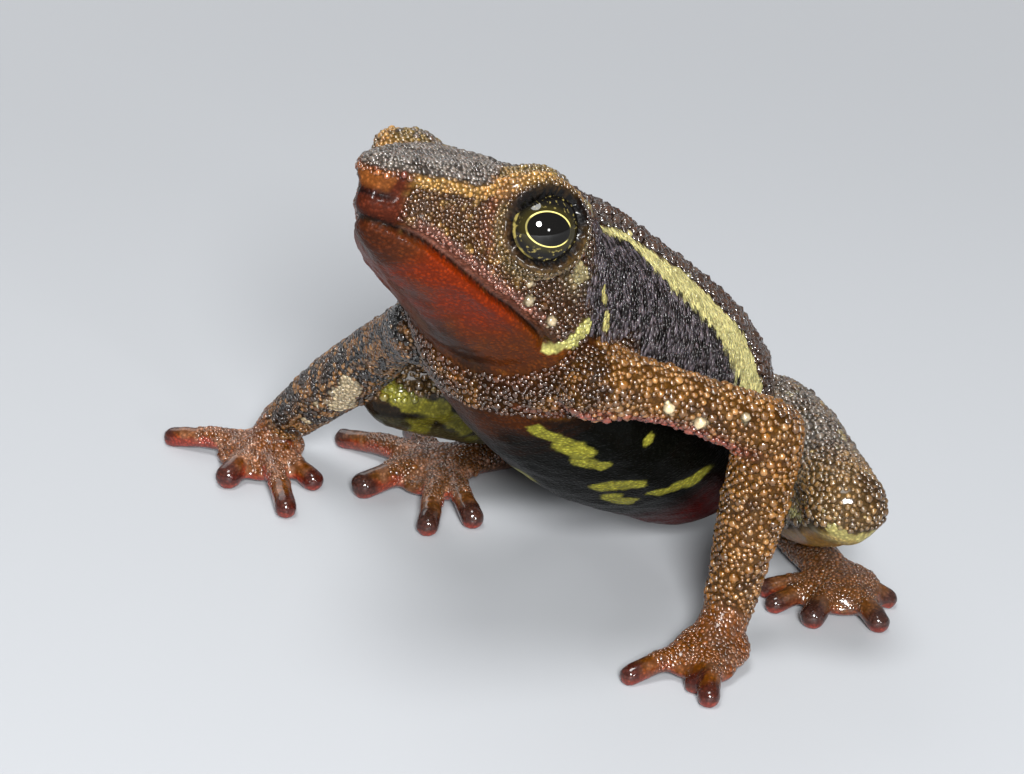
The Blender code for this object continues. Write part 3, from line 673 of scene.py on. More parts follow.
@dataclass
class Length(Region):
    """A round length of limb through its joints."""

    start: Place
    end: Place
    sag: Place
    radii: tuple[float, ...]
    grain: Grain = Grain(0.122, 0.74)
    steps: int = 40

    def route(self) -> np.ndarray:
        """Points along the middle of the limb."""
        first, last, bow = Vector(self.start), Vector(self.end), Vector(self.sag)
        points = [first.lerp(last, step / 4) + bow * math.sin(math.pi * step / 4) for step in range(5)]
        table = np.array([tuple(point) for point in points])
        return curve(table, self.steps)

    def forms(self) -> list[bmesh.types.BMesh]:
        """The limb's round form."""
        return [tube(self.route(), self.radii, 20, 36)]

    def along(self, points: np.ndarray) -> tuple[np.ndarray, np.ndarray, np.ndarray]:
        """The share along the limb, the distance outside it and the direction from its middle."""
        route = self.route()
        best = squared_gaps(points, route).argmin(axis=1)
        radii = curve(self.radii, self.steps)
        away = points - route[best]
        distance = np.linalg.norm(away, axis=1)
        return best / self.steps, distance - radii[best], away / np.maximum(distance, 1e-6)[:, None]

    def nearness(self, points: np.ndarray) -> np.ndarray:
        """How far each point lies outside the limb."""
        return self.along(points)[1]


def tube(route: np.ndarray, radii: tuple[float, ...], around: int, rows: int) -> bmesh.types.BMesh:
    """A round length along a route, with round ends."""
    runs = np.linalg.norm(np.diff(route, axis=0), axis=1)
    length = float(runs.sum())
    marks = np.concatenate(([0.0], np.cumsum(runs))) / length
    first, last = radii[0], radii[-1]

    def route_point(share: float) -> Vector:
        return Vector([np.interp(share, marks, route[:, axis]) for axis in range(3)])

    def place(station: float, turn: float) -> Vector:
        run = station * (first + length + last) - first
        share = min(max(run / length, 0.0), 1.0)
        middle = route_point(share)
        heading = (route_point(share + 0.02) - route_point(share - 0.02)).normalized()
        radius = float(spline(np.array(radii), share))
        if run < 0.0:
            middle = middle + heading * run
            radius = math.sqrt(max(first ** 2 - run ** 2, 0.0))
        elif run > length:
            middle = middle + heading * (run - length)
            radius = math.sqrt(max(last ** 2 - (run - length) ** 2, 0.0))
        side = heading.cross(Vector((0.13, 0.21, 1.0))).normalized()
        rise = side.cross(heading)
        return middle + (side * math.cos(turn) + rise * math.sin(turn)) * radius

    return pulled_sphere(around, rows, place)


@dataclass
class ArmLength(Length):
    """Upper arm or forearm, golden brown with red below."""

    red_below: float = 0.0
    grey_and_sheen_top: float = 0.0
    dark: float = 0.0

    def paint(self, points: np.ndarray, normals: np.ndarray) -> np.ndarray:
        """The colours of the arm."""
        share, _, away = self.along(points)
        patchy = cloud(points, 0.9, 21.0)
        fine = cloud(points, 0.33, 23.0)
        coat = Coat(len(points), Tint.ARM)
        coat.over(Tint.ARM_DARK, ramp(-0.1, 0.5, patchy) * 0.6)
        coat.over(Tint.ARM_LIGHT, ramp(0.15, 0.55, fine) * 0.5)
        coat.over(Tint.ARM_SHADE, ramp(-0.45, 0.15, patchy + fine) * self.dark)
        # Grey on the upper side near the shoulder: partly grey granules, partly a painted sheen.
        grey = ramp(0.2, 0.8, away[:, 2]) * ramp(0.9, 0.4, share)
        coat.over(Tint.SHOULDER_GREY_AND_SHEEN, grey * self.grey_and_sheen_top)
        return coat.over(Tint.ARM_RED, ramp(-0.35, -0.85, away[:, 2]) * self.red_below).colour


@dataclass
class LegLength(Length):
    """Thigh or shank: grey brown above, pale and blotched below."""

    blotched: float = 0.0
    orange: float = 0.0
    knee_last: bool = True
    bare_below: float = -0.30

    def paint(self, points: np.ndarray, normals: np.ndarray) -> np.ndarray:
        """The colours of the leg."""
        share, _, away = self.along(points)
        patchy = cloud(points, 1.1, 31.0)
        fine = cloud(points, 0.35, 33.0)
        coat = Coat(len(points), Tint.LEG)
        bend = share if self.knee_last else 1.0 - share
        coat.over(Tint.KNEE, ramp(0.70, 0.92, bend) * 0.9)
        coat.over(Tint.ARM_DARK, ramp(-0.1, 0.5, patchy + 0.5 * fine) * 0.6)
        coat.over(Tint.GOLD, ramp(0.25, 0.6, fine) * 0.35)
        below = ramp(-0.30, -0.60, away[:, 2] + 0.15 * patchy)
        everywhere = np.ones(len(points))
        pale = Coat(len(points), Tint.LEG_PALE).over(Tint.LEG_DARK, everywhere * self.blotched)
        pale.over(Tint.LEG_GREEN, ramp(0.15, 0.30, patchy) * self.blotched)
        coat.over(Tint.LEG_DARK, ramp(0.32, 0.05, away[:, 2] + 0.2 * patchy) * self.blotched)
        pale.over(Tint.LEG_ORANGE, everywhere * self.orange)
        coat.over(pale, below)
        # Painted shade: a dark line along the lower side, where thigh and shank fold together.
        return coat.over(Tint.LEG_DARK, hump(-0.36, 0.09, away[:, 2] + 0.1 * patchy) * 0.8).colour


@dataclass
class Paw(Region):
    """A hand or foot: wrist, flat pad, digits and the web between their roots."""

    wrist: Place
    pad: Place
    digits: tuple
    pad_sizes: Place
    stem_radii: tuple[float, ...]
    is_hand: bool
    flush: float = 0.25
    grain: Grain = Grain(0.09, 0.42)
    digit_steps: int = 24
    digit_sink: float = 0.10
    knuckle_rise: float = 0.16
    web_height: float = 0.36
    web_reach: float = 0.30

    def digit_routes(self) -> list[tuple[np.ndarray, tuple[float, ...]]]:
        """The middle line and radii of every digit."""
        pad = Vector(self.pad)
        routes = []
        for tip, root_radius, tip_radius in self.digits:
            end = Vector((*tip, tip_radius - self.digit_sink))
            inward = (Vector((pad.x, pad.y, end.z)) - end).normalized()
            end = end + inward * tip_radius
            start = pad.lerp(end, 0.15)
            knuckle = start.lerp(end, 0.5) + Vector((0.0, 0.0, self.knuckle_rise))
            table = np.array([tuple(start), tuple(knuckle), tuple(end)])
            radii = (root_radius + 0.08, root_radius - 0.05, tip_radius)
            routes.append((curve(table, self.digit_steps), radii))
        return routes

    def forms(self) -> list[bmesh.types.BMesh]:
        """The forms of the hand or foot."""
        wrist, pad = Vector(self.wrist), Vector(self.pad)
        stem = np.array([tuple(wrist), tuple(wrist.lerp(pad, 0.5)), tuple(pad)])
        pieces = [tube(stem, self.stem_radii, 18, 18)]
        heading = Vector((pad.x - wrist.x, pad.y - wrist.y, 0.0)).normalized()
        axes = (heading, Vector((-heading.y, heading.x, 0.0)), Vector((0.0, 0.0, 1.0)))
        pieces.append(egg(pad, axes, self.pad_sizes))
        pieces += [tube(route, radii, 16, 24) for route, radii in self.digit_routes()]
        middle = Vector((pad.x, pad.y, self.web_height))
        for first, second in zip(self.digits[:-1], self.digits[1:]):
            rim = Vector((*first[0], self.web_height)).lerp(Vector((*second[0], self.web_height)), 0.5)
            pieces.append(egg(middle.lerp(rim, self.web_reach), axes, (1.0, 1.0, self.web_height)))
        return pieces

    def tipness(self, points: np.ndarray) -> np.ndarray:
        """0 at the wrist and pad, rising to 1 at the digits' tips."""
        shares = []
        for route, _ in self.digit_routes():
            gaps = squared_gaps(points, route)
            near = np.sqrt(gaps.min(axis=1)) < 0.75
            shares.append(np.where(near, gaps.argmin(axis=1) / self.digit_steps, 0.0))
        return np.max(shares, axis=0)

    def nearness(self, points: np.ndarray) -> np.ndarray:
        """About how far each point lies outside the hand or foot."""
        wrist, pad = np.array(self.wrist), np.array(self.pad)
        stem = from_line(points, wrist, pad) - 0.85
        flat = points - pad
        flat[:, 2] *= 1.6
        gaps = [stem, np.linalg.norm(flat, axis=1) - 1.3]
        for route, radii in self.digit_routes():
            gaps.append(np.sqrt(squared_gaps(points, route).min(axis=1)) - radii[1] - 0.05)
        return np.min(gaps, axis=0)

    def paint(self, points: np.ndarray, normals: np.ndarray) -> np.ndarray:
        """The colours of the hand or foot."""
        base, end = (Tint.HAND, Tint.TIP) if self.is_hand else (Tint.FOOT, Tint.FOOT_TIP)
        tips = self.tipness(points)
        patchy = cloud(points, 0.7, 41.0)
        fine = cloud(points, 0.3, 43.0)
        coat = Coat(len(points), base)
        coat.over(Tint.ARM_DARK, ramp(-0.1, 0.5, patchy + 0.4 * fine) * 0.7)
        coat.over(Tint.HAND_PALE, ramp(-0.2, 0.5, fine + 0.5 * patchy) * self.flush * 0.75)
        coat.over(Tint.PALM_RED, ramp(0.36, 0.14, points[:, 2] + 0.15 * patchy) * 0.9)
        sides = ramp(0.55, 0.0, normals[:, 2] + 0.4 * fine) * ramp(0.12, 0.4, tips)
        coat.over(Tint.PALM_RED, sides * self.flush)
        dark = ramp(0.76, 0.94, tips + 0.1 * patchy) * ramp(0.12, 0.34, points[:, 2])
        return coat.over(end, dark * 0.9).colour


UPPER_ARM = (1.25, 1.00, 0.92, 0.96, 1.08)
FOREARM = (1.08, 1.10, 1.05, 0.92, 0.82)
THIGH = (1.30, 1.36, 1.30, 1.22, 1.30)
SHANK = (1.28, 1.22, 1.08, 0.88, 0.82)
HAND_PAD = (1.55, 1.30, 0.62)
FOOT_PAD = (1.70, 1.35, 0.62)
WRIST_STEM = (0.80, 0.82, 0.70)
TARSUS_STEM = (0.80, 0.80, 0.66)
LEFT_HAND_DIGITS = (
    ((4.75, -9.75), 0.42, 0.40),
    ((4.89, -13.37), 0.44, 0.38),
    ((7.15, -12.45), 0.42, 0.38),
    ((8.16, -12.96), 0.44, 0.40),
)
RIGHT_HAND_DIGITS = (
    ((-19.40, -8.45), 0.46, 0.38),
    ((-14.95, -10.35), 0.52, 0.50),
    ((-11.45, -10.75), 0.44, 0.42),
    ((-12.15, -8.05), 0.46, 0.44),
)
LEFT_FOOT_DIGITS = (
    ((4.60, -4.60), 0.42, 0.38),
    ((5.60, -5.60), 0.44, 0.40),
    ((7.49, -5.80), 0.48, 0.46),
    ((9.68, -4.30), 0.48, 0.42),
    ((8.90, -2.10), 0.42, 0.38),
)
RIGHT_FOOT_DIGITS = (
    ((-5.85, -6.95), 0.44, 0.44),
    ((-6.80, -8.65), 0.46, 0.44),
    ((-10.95, -7.70), 0.56, 0.52),
    ((-14.60, -4.15), 0.48, 0.40),
    ((-13.00, -1.70), 0.42, 0.38),
)


def all_regions() -> dict[str, Region]:
    """Every region of the toad by name."""
    straight, arm_bow, thigh_bow, shank_bow = ((0.0, 0.0, rise) for rise in (0.0, 0.25, 0.35, -0.35))
    return {
        "trunk": Trunk(),
        "upper_arm_left": ArmLength(LEFT_SHOULDER, LEFT_ELBOW, arm_bow, UPPER_ARM, red_below=1.0),
        "forearm_left": ArmLength(LEFT_ELBOW, LEFT_WRIST, straight, FOREARM),
        "hand_left": Paw(LEFT_WRIST, (6.40, -10.20, 0.62), LEFT_HAND_DIGITS, HAND_PAD, WRIST_STEM, True),
        "upper_arm_right": ArmLength(
            RIGHT_SHOULDER, RIGHT_ELBOW, arm_bow, UPPER_ARM, grey_and_sheen_top=0.4, dark=1.0, grain=FINE_GRAIN,
        ),
        "forearm_right": ArmLength(
            RIGHT_ELBOW, RIGHT_WRIST, straight, FOREARM, grey_and_sheen_top=0.3, dark=0.9, grain=FINE_GRAIN,
        ),
        "hand_right": Paw(
            RIGHT_WRIST, (-15.35, -7.35, 0.62), RIGHT_HAND_DIGITS, HAND_PAD, WRIST_STEM, True, flush=0.75,
        ),
        "thigh_left": LegLength(LEFT_HIP, LEFT_KNEE, thigh_bow, THIGH),
        "shank_left": LegLength(LEFT_KNEE, LEFT_HEEL, shank_bow, SHANK, orange=0.7, knee_last=False),
        "foot_left": Paw(LEFT_HEEL, (7.00, -2.90, 0.60), LEFT_FOOT_DIGITS, FOOT_PAD, TARSUS_STEM, False),
        "thigh_right": LegLength(RIGHT_HIP, RIGHT_KNEE, thigh_bow, THIGH, blotched=1.0, bare_below=0.12),
        "shank_right": LegLength(
            RIGHT_KNEE, RIGHT_HEEL, shank_bow, SHANK, blotched=0.8, knee_last=False, bare_below=0.0,
        ),
        "foot_right": Paw(
            RIGHT_HEEL, (-9.60, -4.10, 0.60), RIGHT_FOOT_DIGITS, FOOT_PAD, TARSUS_STEM, False, flush=0.55,
        ),
    }


@dataclass(frozen=True)
class Spot:
    """A mark or wart placed where the photo shows it, by pixel, with its radius.

    A mark with an end reaches from one pixel to the other.  A mirrored one is repeated on the
    other side of the head.
    """

    pixel: tuple[float, float]
    radius: float
    colour: Tint
    end: tuple[float, float] | None = None
    wart: bool = False
    mirrored: bool = False


@dataclass
class Mark:
    """A spot found on the skin: both ends, radius, colour and whether a wart grows there."""

    start: np.ndarray
    end: np.ndarray
    radius: float
    colour: np.ndarray
    wart: bool

    def distance(self, points: np.ndarray) -> np.ndarray:
        """How far points lie from the mark's middle line."""
        return from_line(points, self.start, self.end)

    def mirrored(self) -> "Mark":
        """The same mark on the other side of the head."""
        ends = []
        for end in (self.start, self.end):
            forward, left, up = HEAD.local(end[None])[:, 0]
            ends.append(as_array(HEAD.point(forward, -left, up)))
        return Mark(ends[0], ends[1], self.radius, self.colour, self.wart)


@dataclass(frozen=True)
class PhotoCamera:
    """The camera at the photograph's viewing angle, in the toad's frame."""

    azimuth: float = math.radians(35.2)
    elevation: float = math.radians(22.78)
    roll: float = math.radians(2.80)
    distance: float = 130.0
    target: Place = (-3.45, -8.52, 6.83)
    frame_size: tuple[int, int] = (1024, 774)
    pixels_per_mm: float = 28.91
    sensor: float = 36.0
    clip: tuple[float, float] = (0.005, 10.0)

    def axes(self) -> tuple[Vector, Vector, Vector]:
        """The directions right, up and ahead, before the roll."""
        right = Vector((math.cos(self.azimuth), math.sin(self.azimuth), 0.0))
        ahead = Vector((
            -math.sin(self.azimuth) * math.cos(self.elevation),
            math.cos(self.azimuth) * math.cos(self.elevation),
            -math.sin(self.elevation),
        ))
        return right, right.cross(ahead), ahead

    def eye(self) -> Vector:
        """Where the camera stands."""
        return Vector(self.target) - self.axes()[2] * self.distance

    def focal(self) -> float:
        """The focal length in pixels."""
        return self.pixels_per_mm * self.distance

    def ray(self, pixel: tuple[float, float]) -> Vector:
        """The direction from the camera through a pixel."""
        right, up, ahead = self.axes()
        across = pixel[0] - self.frame_size[0] / 2
        down = pixel[1] - self.frame_size[1] / 2
        flat = across * math.cos(self.roll) + down * math.sin(self.roll)
        drop = -across * math.sin(self.roll) + down * math.cos(self.roll)
        return (ahead + right * (flat / self.focal()) - up * (drop / self.focal())).normalized()

    def add(self, shift: Vector) -> None:
        """Set up the camera, in metres."""
        right, up, ahead = self.axes()
        turned_right = right * math.cos(self.roll) + up * math.sin(self.roll)
        turned_up = up * math.cos(self.roll) - right * math.sin(self.roll)
        lens = bpy.data.cameras.new("photo_camera")
        lens.sensor_width = self.sensor
        lens.lens = self.focal() / self.frame_size[0] * self.sensor
        lens.clip_start, lens.clip_end = self.clip
        view = bpy.data.objects.new("photo_camera", lens)
        turn = Matrix((turned_right, turned_up, -ahead)).transposed().to_4x4()
        view.matrix_world = Matrix.Translation((self.eye() + shift) * MM) @ turn
        bpy.context.scene.collection.objects.link(view)
        bpy.context.scene.camera = view


SPOTS = (
    Spot((530, 283), 0.17, Tint.CREAM, wart=True, mirrored=True),
    Spot((528, 301), 0.22, Tint.CREAM, wart=True, mirrored=True),
    Spot((552, 322), 0.20, Tint.CREAM, wart=True, mirrored=True),
    Spot((550, 349), 0.20, Tint.MARK, (573, 341), mirrored=True),
    Spot((573, 341), 0.29, Tint.MARK, (587, 327), mirrored=True),
    Spot((603, 291), 0.13, Tint.LEG_PALE, (605, 300)),
    Spot((607, 315), 0.16, Tint.LEG_PALE, (605, 328)),
    Spot((581, 273), 0.32, Tint.CHEEK_TAN, mirrored=True),
    Spot((670, 408), 0.22, Tint.CREAM, wart=True),
    Spot((700, 423), 0.27, Tint.CREAM, wart=True),
    Spot((745, 420), 0.18, Tint.CREAM, wart=True),
    Spot((350, 386), 0.42, Tint.CREAM, (341, 408)),
    Spot((341, 408), 0.28, Tint.CREAM, (324, 428)),
    Spot((306, 421), 0.20, Tint.CREAM),
    Spot((307, 442), 0.19, Tint.CREAM),
    Spot((317, 404), 0.17, Tint.CREAM),
    Spot((537, 430), 0.26, Tint.BELLY_SPOT, (562, 441)),
    Spot((564, 444), 0.42, Tint.BELLY_SPOT, (584, 455)),
    Spot((580, 461), 0.30, Tint.BELLY_SPOT, (602, 465)),
    Spot((602, 487), 0.36, Tint.BELLY_SPOT, (636, 484)),
    Spot((612, 497), 0.36, Tint.BELLY_SPOT, (626, 502)),
    Spot((655, 493), 0.26, Tint.BELLY_SPOT, (675, 488)),
    Spot((674, 487), 0.32, Tint.BELLY_SPOT, (702, 475)),
    Spot((648, 440), 0.25, Tint.BELLY_SPOT),
    Spot((515, 407), 0.16, Tint.CHEST, (560, 416)),
    Spot((388, 388), 0.30, Tint.LEG_GREEN, (411, 405)),
    Spot((411, 405), 0.38, Tint.LEG_GREEN, (441, 411)),
    Spot((441, 411), 0.40, Tint.LEG_GREEN, (466, 428)),
    Spot((833, 531), 0.24, Tint.LEG_PALE, (872, 534)),
    Spot((845, 541), 0.22, Tint.LEG_PALE, (862, 542)),
    Spot((790, 511), 0.20, Tint.LEG_PALE, (802, 517)),
    Spot((790, 540), 0.32, Tint.LEG_ORANGE, (806, 543)),
)


@dataclass
class Markings:
    """Paints points on the skin by the regions they lie in, and by the spots of the photo."""

    regions: dict[str, Region]
    spots: list[Mark]
    blend: float = 0.10
    least_share: float = 0.02

    def shares(self, points: np.ndarray) -> np.ndarray:
        """How much each region has of each point, one column for each region."""
        gaps = np.stack([region.nearness(points) for region in self.regions.values()], 1)
        weights = np.exp(-np.clip(gaps - gaps.min(axis=1)[:, None], 0.0, 2.0) / self.blend)
        return weights / weights.sum(axis=1)[:, None]

    def marked(self, points: np.ndarray) -> np.ndarray:
        """Which points lie on a mark that isn't a wart."""
        on_mark = np.zeros(len(points), dtype=bool)
        for spot in self.spots:
            if not spot.wart:
                on_mark |= spot.distance(points) < spot.radius + 0.03
        return on_mark

    def owned(self, owner: np.ndarray, words: tuple[str, ...]) -> np.ndarray:
        """Which points belong to a region that has one of the words in its name."""
        names = enumerate(self.regions)
        return np.isin(owner, [number for number, name in names if any(word in name for word in words)])

    def wetness(self, points: np.ndarray, shares: np.ndarray) -> np.ndarray:
        """How wet the bare skin looks: paws most, belly least."""
        owner = shares.argmax(axis=1)
        trunk = self.regions["trunk"]
        on_head = trunk.headness(points) > 0.5
        wet = np.where((owner == 0) & ~on_head, 0.04, 0.30)
        forward, _, up = HEAD.local(points)
        below = trunk.mouth_up(forward) - up
        wet = np.where((owner == 0) & on_head & (below > 0.1), 0.14, wet)
        wet = np.where((owner == 0) & (forward > 4.2), 0.08, wet)
        return np.where(self.owned(owner, ("hand", "foot")), 0.9, wet)

    def paint(self, points: np.ndarray, normals: np.ndarray, shares: np.ndarray) -> np.ndarray:
        """The colour of each point.

        Args:
            points: places in the toad's frame.
            normals: the skin's directions there.
            shares: each region's share of each point.

        Returns:
            One linear colour for each point.
        """
        colour = np.zeros((len(points), 3))
        for column, region in enumerate(self.regions.values()):
            here = shares[:, column] > self.least_share
            if here.any():
                part = region.paint(points[here], normals[here])
                colour[here] += part * shares[here, column][:, None]
        ragged = cloud(points, 0.4, 51.0)
        speckle = cloud(points, 0.2, 53.0)
        for spot in self.spots:
            away = spot.distance(points) / spot.radius + 0.55 * ragged
            mottled = spot.colour * (1.0 + 0.45 * speckle)[:, None]
            colour = mixed(colour, mottled, 1.0 - ramp(0.85, 1.15, away))
        return colour


def skin_arrays(shape: bmesh.types.BMesh) -> tuple[np.ndarray, np.ndarray]:
    """The places and directions of a mesh's points."""
    shape.normal_update()
    points = np.array([tuple(vert.co) for vert in shape.verts])
    normals = np.array([tuple(vert.normal) for vert in shape.verts])
    return points, normals


@dataclass
class Skin:
    """One closed skin drawn over every form of flesh, with its lids, mouth and folds."""

    regions: dict[str, Region]
    voxel: float = 0.125
    smoothing: int = 5
    mouth_depth: float = 0.30
    mouth_half_width: float = 0.17
    lip_swell: float = 0.13
    nostril: Place = (4.10, 1.30, 0.22)
    nostril_radius: float = 0.15
    lid_tuck: float = 0.16
    lid_folds: Tuples = ((0.20, 0.10), (0.58, 0.16), (0.38, 0.09))

    def build(self) -> bmesh.types.BMesh:
        """The skin with all its modelled folds."""
        whole = bmesh.new()
        for region in self.regions.values():
            for piece in region.forms():
                mesh = bpy.data.meshes.new("form")
                piece.to_mesh(mesh)
                piece.free()
                whole.from_mesh(mesh)
                bpy.data.meshes.remove(mesh)
        shape = applied(whole, "REMESH", {"mode": "VOXEL", "voxel_size": self.voxel})
        shape = applied(shape, "SMOOTH", {"factor": 0.5, "iterations": self.smoothing})
        bmesh.ops.triangulate(shape, faces=shape.faces)
        self.fold_head(shape)
        self.seat_eyes(shape)
        self.flatten_soles(shape)
        return shape

    def fold_head(self, shape: bmesh.types.BMesh) -> None:
        """Press in the mouth line and nostrils and raise the lip and canthus folds."""
        trunk = self.regions["trunk"]
        points, normals = skin_arrays(shape)
        forward, left, up = HEAD.local(points)
        on_head = forward > -4.0
        move = np.zeros(len(points))

        half = curve(trunk.mouth_line, trunk.mouth_steps)
        line = np.concatenate([half, half * (1.0, -1.0, 1.0)])
        here = np.stack([forward, left, up], 1)[on_head]
        axes = np.array([tuple(axis) for axis in HEAD.axes()])
        facing = normals[on_head] @ axes.T
        away = line[None] - here[:, None, :]
        through = (away * facing[:, None, :]).sum(axis=2)
        beside = np.sqrt(np.maximum((away ** 2).sum(axis=2) - through ** 2, 0.0))
        beside[np.abs(through) > 0.9] = 9.0
        best = beside.argmin(axis=1)
        rows = np.arange(len(best))
        distance = beside[rows, best]
        above = -away[rows, best, 2]
        press = self.mouth_depth * hump(0.0, self.mouth_half_width, distance)
        press *= 1.0 - 0.5 * ramp(3.6, 4.6, here[:, 0])
        swell = self.lip_swell * hump(0.42, 0.22, above) + 0.06 * hump(-0.34, 0.20, above)
        swell *= (distance < 1.2) * np.exp(-((distance / 0.9) ** 4))
        swell *= 1.0 - 0.8 * ramp(3.4, 4.4, here[:, 0])
        move[on_head] += swell - press

        brow = trunk.brow_distance(forward[on_head], left[on_head], up[on_head])
        move[on_head] += 0.10 * hump(0.0, 0.22, brow) - 0.06 * hump(0.5, 0.2, brow)
        side = np.abs(left)
        lore = hump(2.6, 0.9, forward) * hump(-0.35, 0.55, up) * (side > 0.8)
        move -= 0.16 * lore * on_head
        pit = np.linalg.norm(np.stack([forward, side, up], 1) - np.array(self.nostril), axis=1)
        pit = pit / self.nostril_radius
        move += 0.05 * hump(1.6, 0.5, pit) - 0.22 * hump(0.0, 1.0, pit)
        lumps = cloud(points, 0.9, 61.0) * 0.05 + cloud(points, 0.42, 63.0) * 0.025
        move += lumps * np.clip(1.0 - smooth_places(points), 0.0, 1.0)
        for vert, amount, normal in zip(shape.verts, move, normals):
            vert.co += Vector(normal * amount)

    def seat_eyes(self, shape: bmesh.types.BMesh) -> None:
        """Open the lids: the skin in the opening passes under the eyeball."""
        points, _ = skin_arrays(shape)
        for seat in SEATS:
            away, ahead, beside, _, rise = seat.around(points)
            distance = np.linalg.norm(away, axis=1)
            outward = away / np.maximum(distance, 1e-6)[:, None]
            near = (distance < seat.radius + 1.2) & (ahead > 0.0)
            edge = beside - seat.opening * (1.0 + 0.03 * rise)
            tucked = near & (edge < self.lid_tuck)
            share = ramp(0.0, self.lid_tuck, self.lid_tuck - edge) * tucked
            target = points - away + outward * (seat.radius - self.lid_tuck)
            points = points + (target - points) * share[:, None]
            rim, fold, groove = (hump(middle, half, edge) * near for middle, half in self.lid_folds)
            lift = (0.06 * rim + 0.09 * fold * (rise < 0.35) - 0.07 * groove) * (1.0 - share)
            points = points + outward * lift[:, None]
        for vert, point in zip(shape.verts, points):
            vert.co = Vector(point)

    def flatten_soles(self, shape: bmesh.types.BMesh) -> None:
        """Press what reaches below the floor onto it."""
        for vert in shape.verts:
            if vert.co.z < 0.0:
                vert.co.z = 0.0


def smooth_places(points: np.ndarray) -> np.ndarray:
    """1 where the skin has to stay smooth: near the floor and close to the eyes."""
    low = 1.0 - ramp(0.2, 0.6, points[:, 2])
    for seat in SEATS:
        away = np.linalg.norm(points - as_array(seat.middle()), axis=1)
        low = np.maximum(low, 1.0 - ramp(seat.radius + 0.4, seat.radius + 0.8, away))
    return low


def applied(shape: bmesh.types.BMesh, kind: str, settings: dict) -> bmesh.types.BMesh:
    """The shape after one modifier."""
    mesh = bpy.data.meshes.new("work")
    shape.to_mesh(mesh)
    shape.free()
    thing = bpy.data.objects.new("work", mesh)
    bpy.context.scene.collection.objects.link(thing)
    change = thing.modifiers.new(kind, kind)
    for key, value in settings.items():
        setattr(change, key, value)
    bpy.context.view_layer.update()
    graph = bpy.context.evaluated_depsgraph_get()
    result = bpy.data.meshes.new_from_object(thing.evaluated_get(graph))
    bpy.data.objects.remove(thing, do_unlink=True)
    bpy.data.meshes.remove(mesh)
    done = bmesh.new()
    done.from_mesh(result)
    bpy.data.meshes.remove(result)
    return done


def finished(name: str, mesh: bpy.types.Mesh, finish: bpy.types.Material,
             shift: Vector) -> bpy.types.Object:
    """A finished piece at the origin, in metres, riding on the toad's body.

    Args:
        name: the piece's name.
        mesh: its mesh, in the toad's frame in millimetres.
        finish: its material.
        shift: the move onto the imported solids.

    Returns:
        The piece.
    """
    mesh.transform(Matrix.Scale(MM, 4) @ Matrix.Translation(shift))
    mesh.shade_smooth()
    mesh.materials.append(finish)
    piece = bpy.data.objects.new(name, mesh)
    bpy.context.scene.collection.objects.link(piece)
    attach(piece, BODY)
    triangles = sum(len(face.vertices) - 2 for face in mesh.polygons)
    LOG.info("%s: %d triangles", name, triangles)
    return piece


def write_colours(mesh: bpy.types.Mesh, colours: np.ndarray, wetness: np.ndarray | float = 1.0) -> None:
    """Store the markings and the wetness on a mesh's points."""
    layer = mesh.attributes.new("marking", "FLOAT_COLOR", "POINT")
    table = np.ones((len(colours), 4), dtype=np.float32)
    table[:, :3] = colours
    table[:, 3] = wetness
    layer.data.foreach_set("color", table.ravel())


class Unwrap:
    """An unwrap of the skin's own shape, read at any place on it."""

    def __init__(self, mesh: bpy.types.Mesh, ratio: float = 0.08) -> None:
        """Unwrap a thinned copy of the skin."""
        thing = bpy.data.objects.new("unwrap", mesh.copy())
        bpy.context.scene.collection.objects.link(thing)
        thin = thing.modifiers.new("Thin", "DECIMATE")
        thin.ratio = ratio
        bpy.context.view_layer.update()
        graph = bpy.context.evaluated_depsgraph_get()
        flat = bpy.data.meshes.new_from_object(thing.evaluated_get(graph))
        thing.modifiers.clear()
        old = thing.data
        thing.data = flat
        bpy.data.meshes.remove(old)
        bpy.context.view_layer.objects.active = thing
        thing.select_set(True)
        bpy.ops.object.mode_set(mode="EDIT")
        bpy.ops.mesh.select_all(action="SELECT")
        bpy.ops.uv.smart_project(angle_limit=math.radians(66.0), island_margin=0.004)
        bpy.ops.object.mode_set(mode="OBJECT")
        self.places = np.array([tuple(vert.co) for vert in flat.vertices])
        self.faces = [tuple(face.vertices) for face in flat.polygons]
        uvs = np.zeros(len(flat.loops) * 2)
        flat.uv_layers.active.data.foreach_get("uv", uvs)
        uvs = uvs.reshape(-1, 2)
        self.uvs = [uvs[list(face.loop_indices)] for face in flat.polygons]
        self.tree = BVHTree.FromPolygons([Vector(place) for place in self.places], self.faces)
        bpy.data.objects.remove(thing, do_unlink=True)

    def at(self, place: np.ndarray) -> np.ndarray:
        """The unwrap's coordinates at a place on the skin."""
        hit, _, index, _ = self.tree.find_nearest(Vector(place))
        corners = self.places[list(self.faces[index])][:3]
        first, second = corners[1] - corners[0], corners[2] - corners[0]
        offset = as_array(hit) - corners[0]
        grid = np.array([[first @ first, first @ second], [first @ second, second @ second]])
        share = np.linalg.lstsq(grid, np.array([offset @ first, offset @ second]), rcond=None)[0]
        uv = self.uvs[index]
        return uv[0] + (uv[1] - uv[0]) * share[0] + (uv[2] - uv[0]) * share[1]


@dataclass
class Growth:
    """Granules to be: place, direction, radius, height, stretch, region shares and colour."""

    places: np.ndarray
    facing: np.ndarray
    shares: np.ndarray
    radius: np.ndarray
    height: np.ndarray
    stretch: np.ndarray
    colour: np.ndarray

    def only(self, rows: np.ndarray) -> "Growth":
        """The chosen rows."""
        return Growth(*(getattr(self, name)[rows] for name in self.__dataclass_fields__))


NEIGHBOURS = [(x, y, z) for x in (-1, 0, 1) for y in (-1, 0, 1) for z in (-1, 0, 1)]


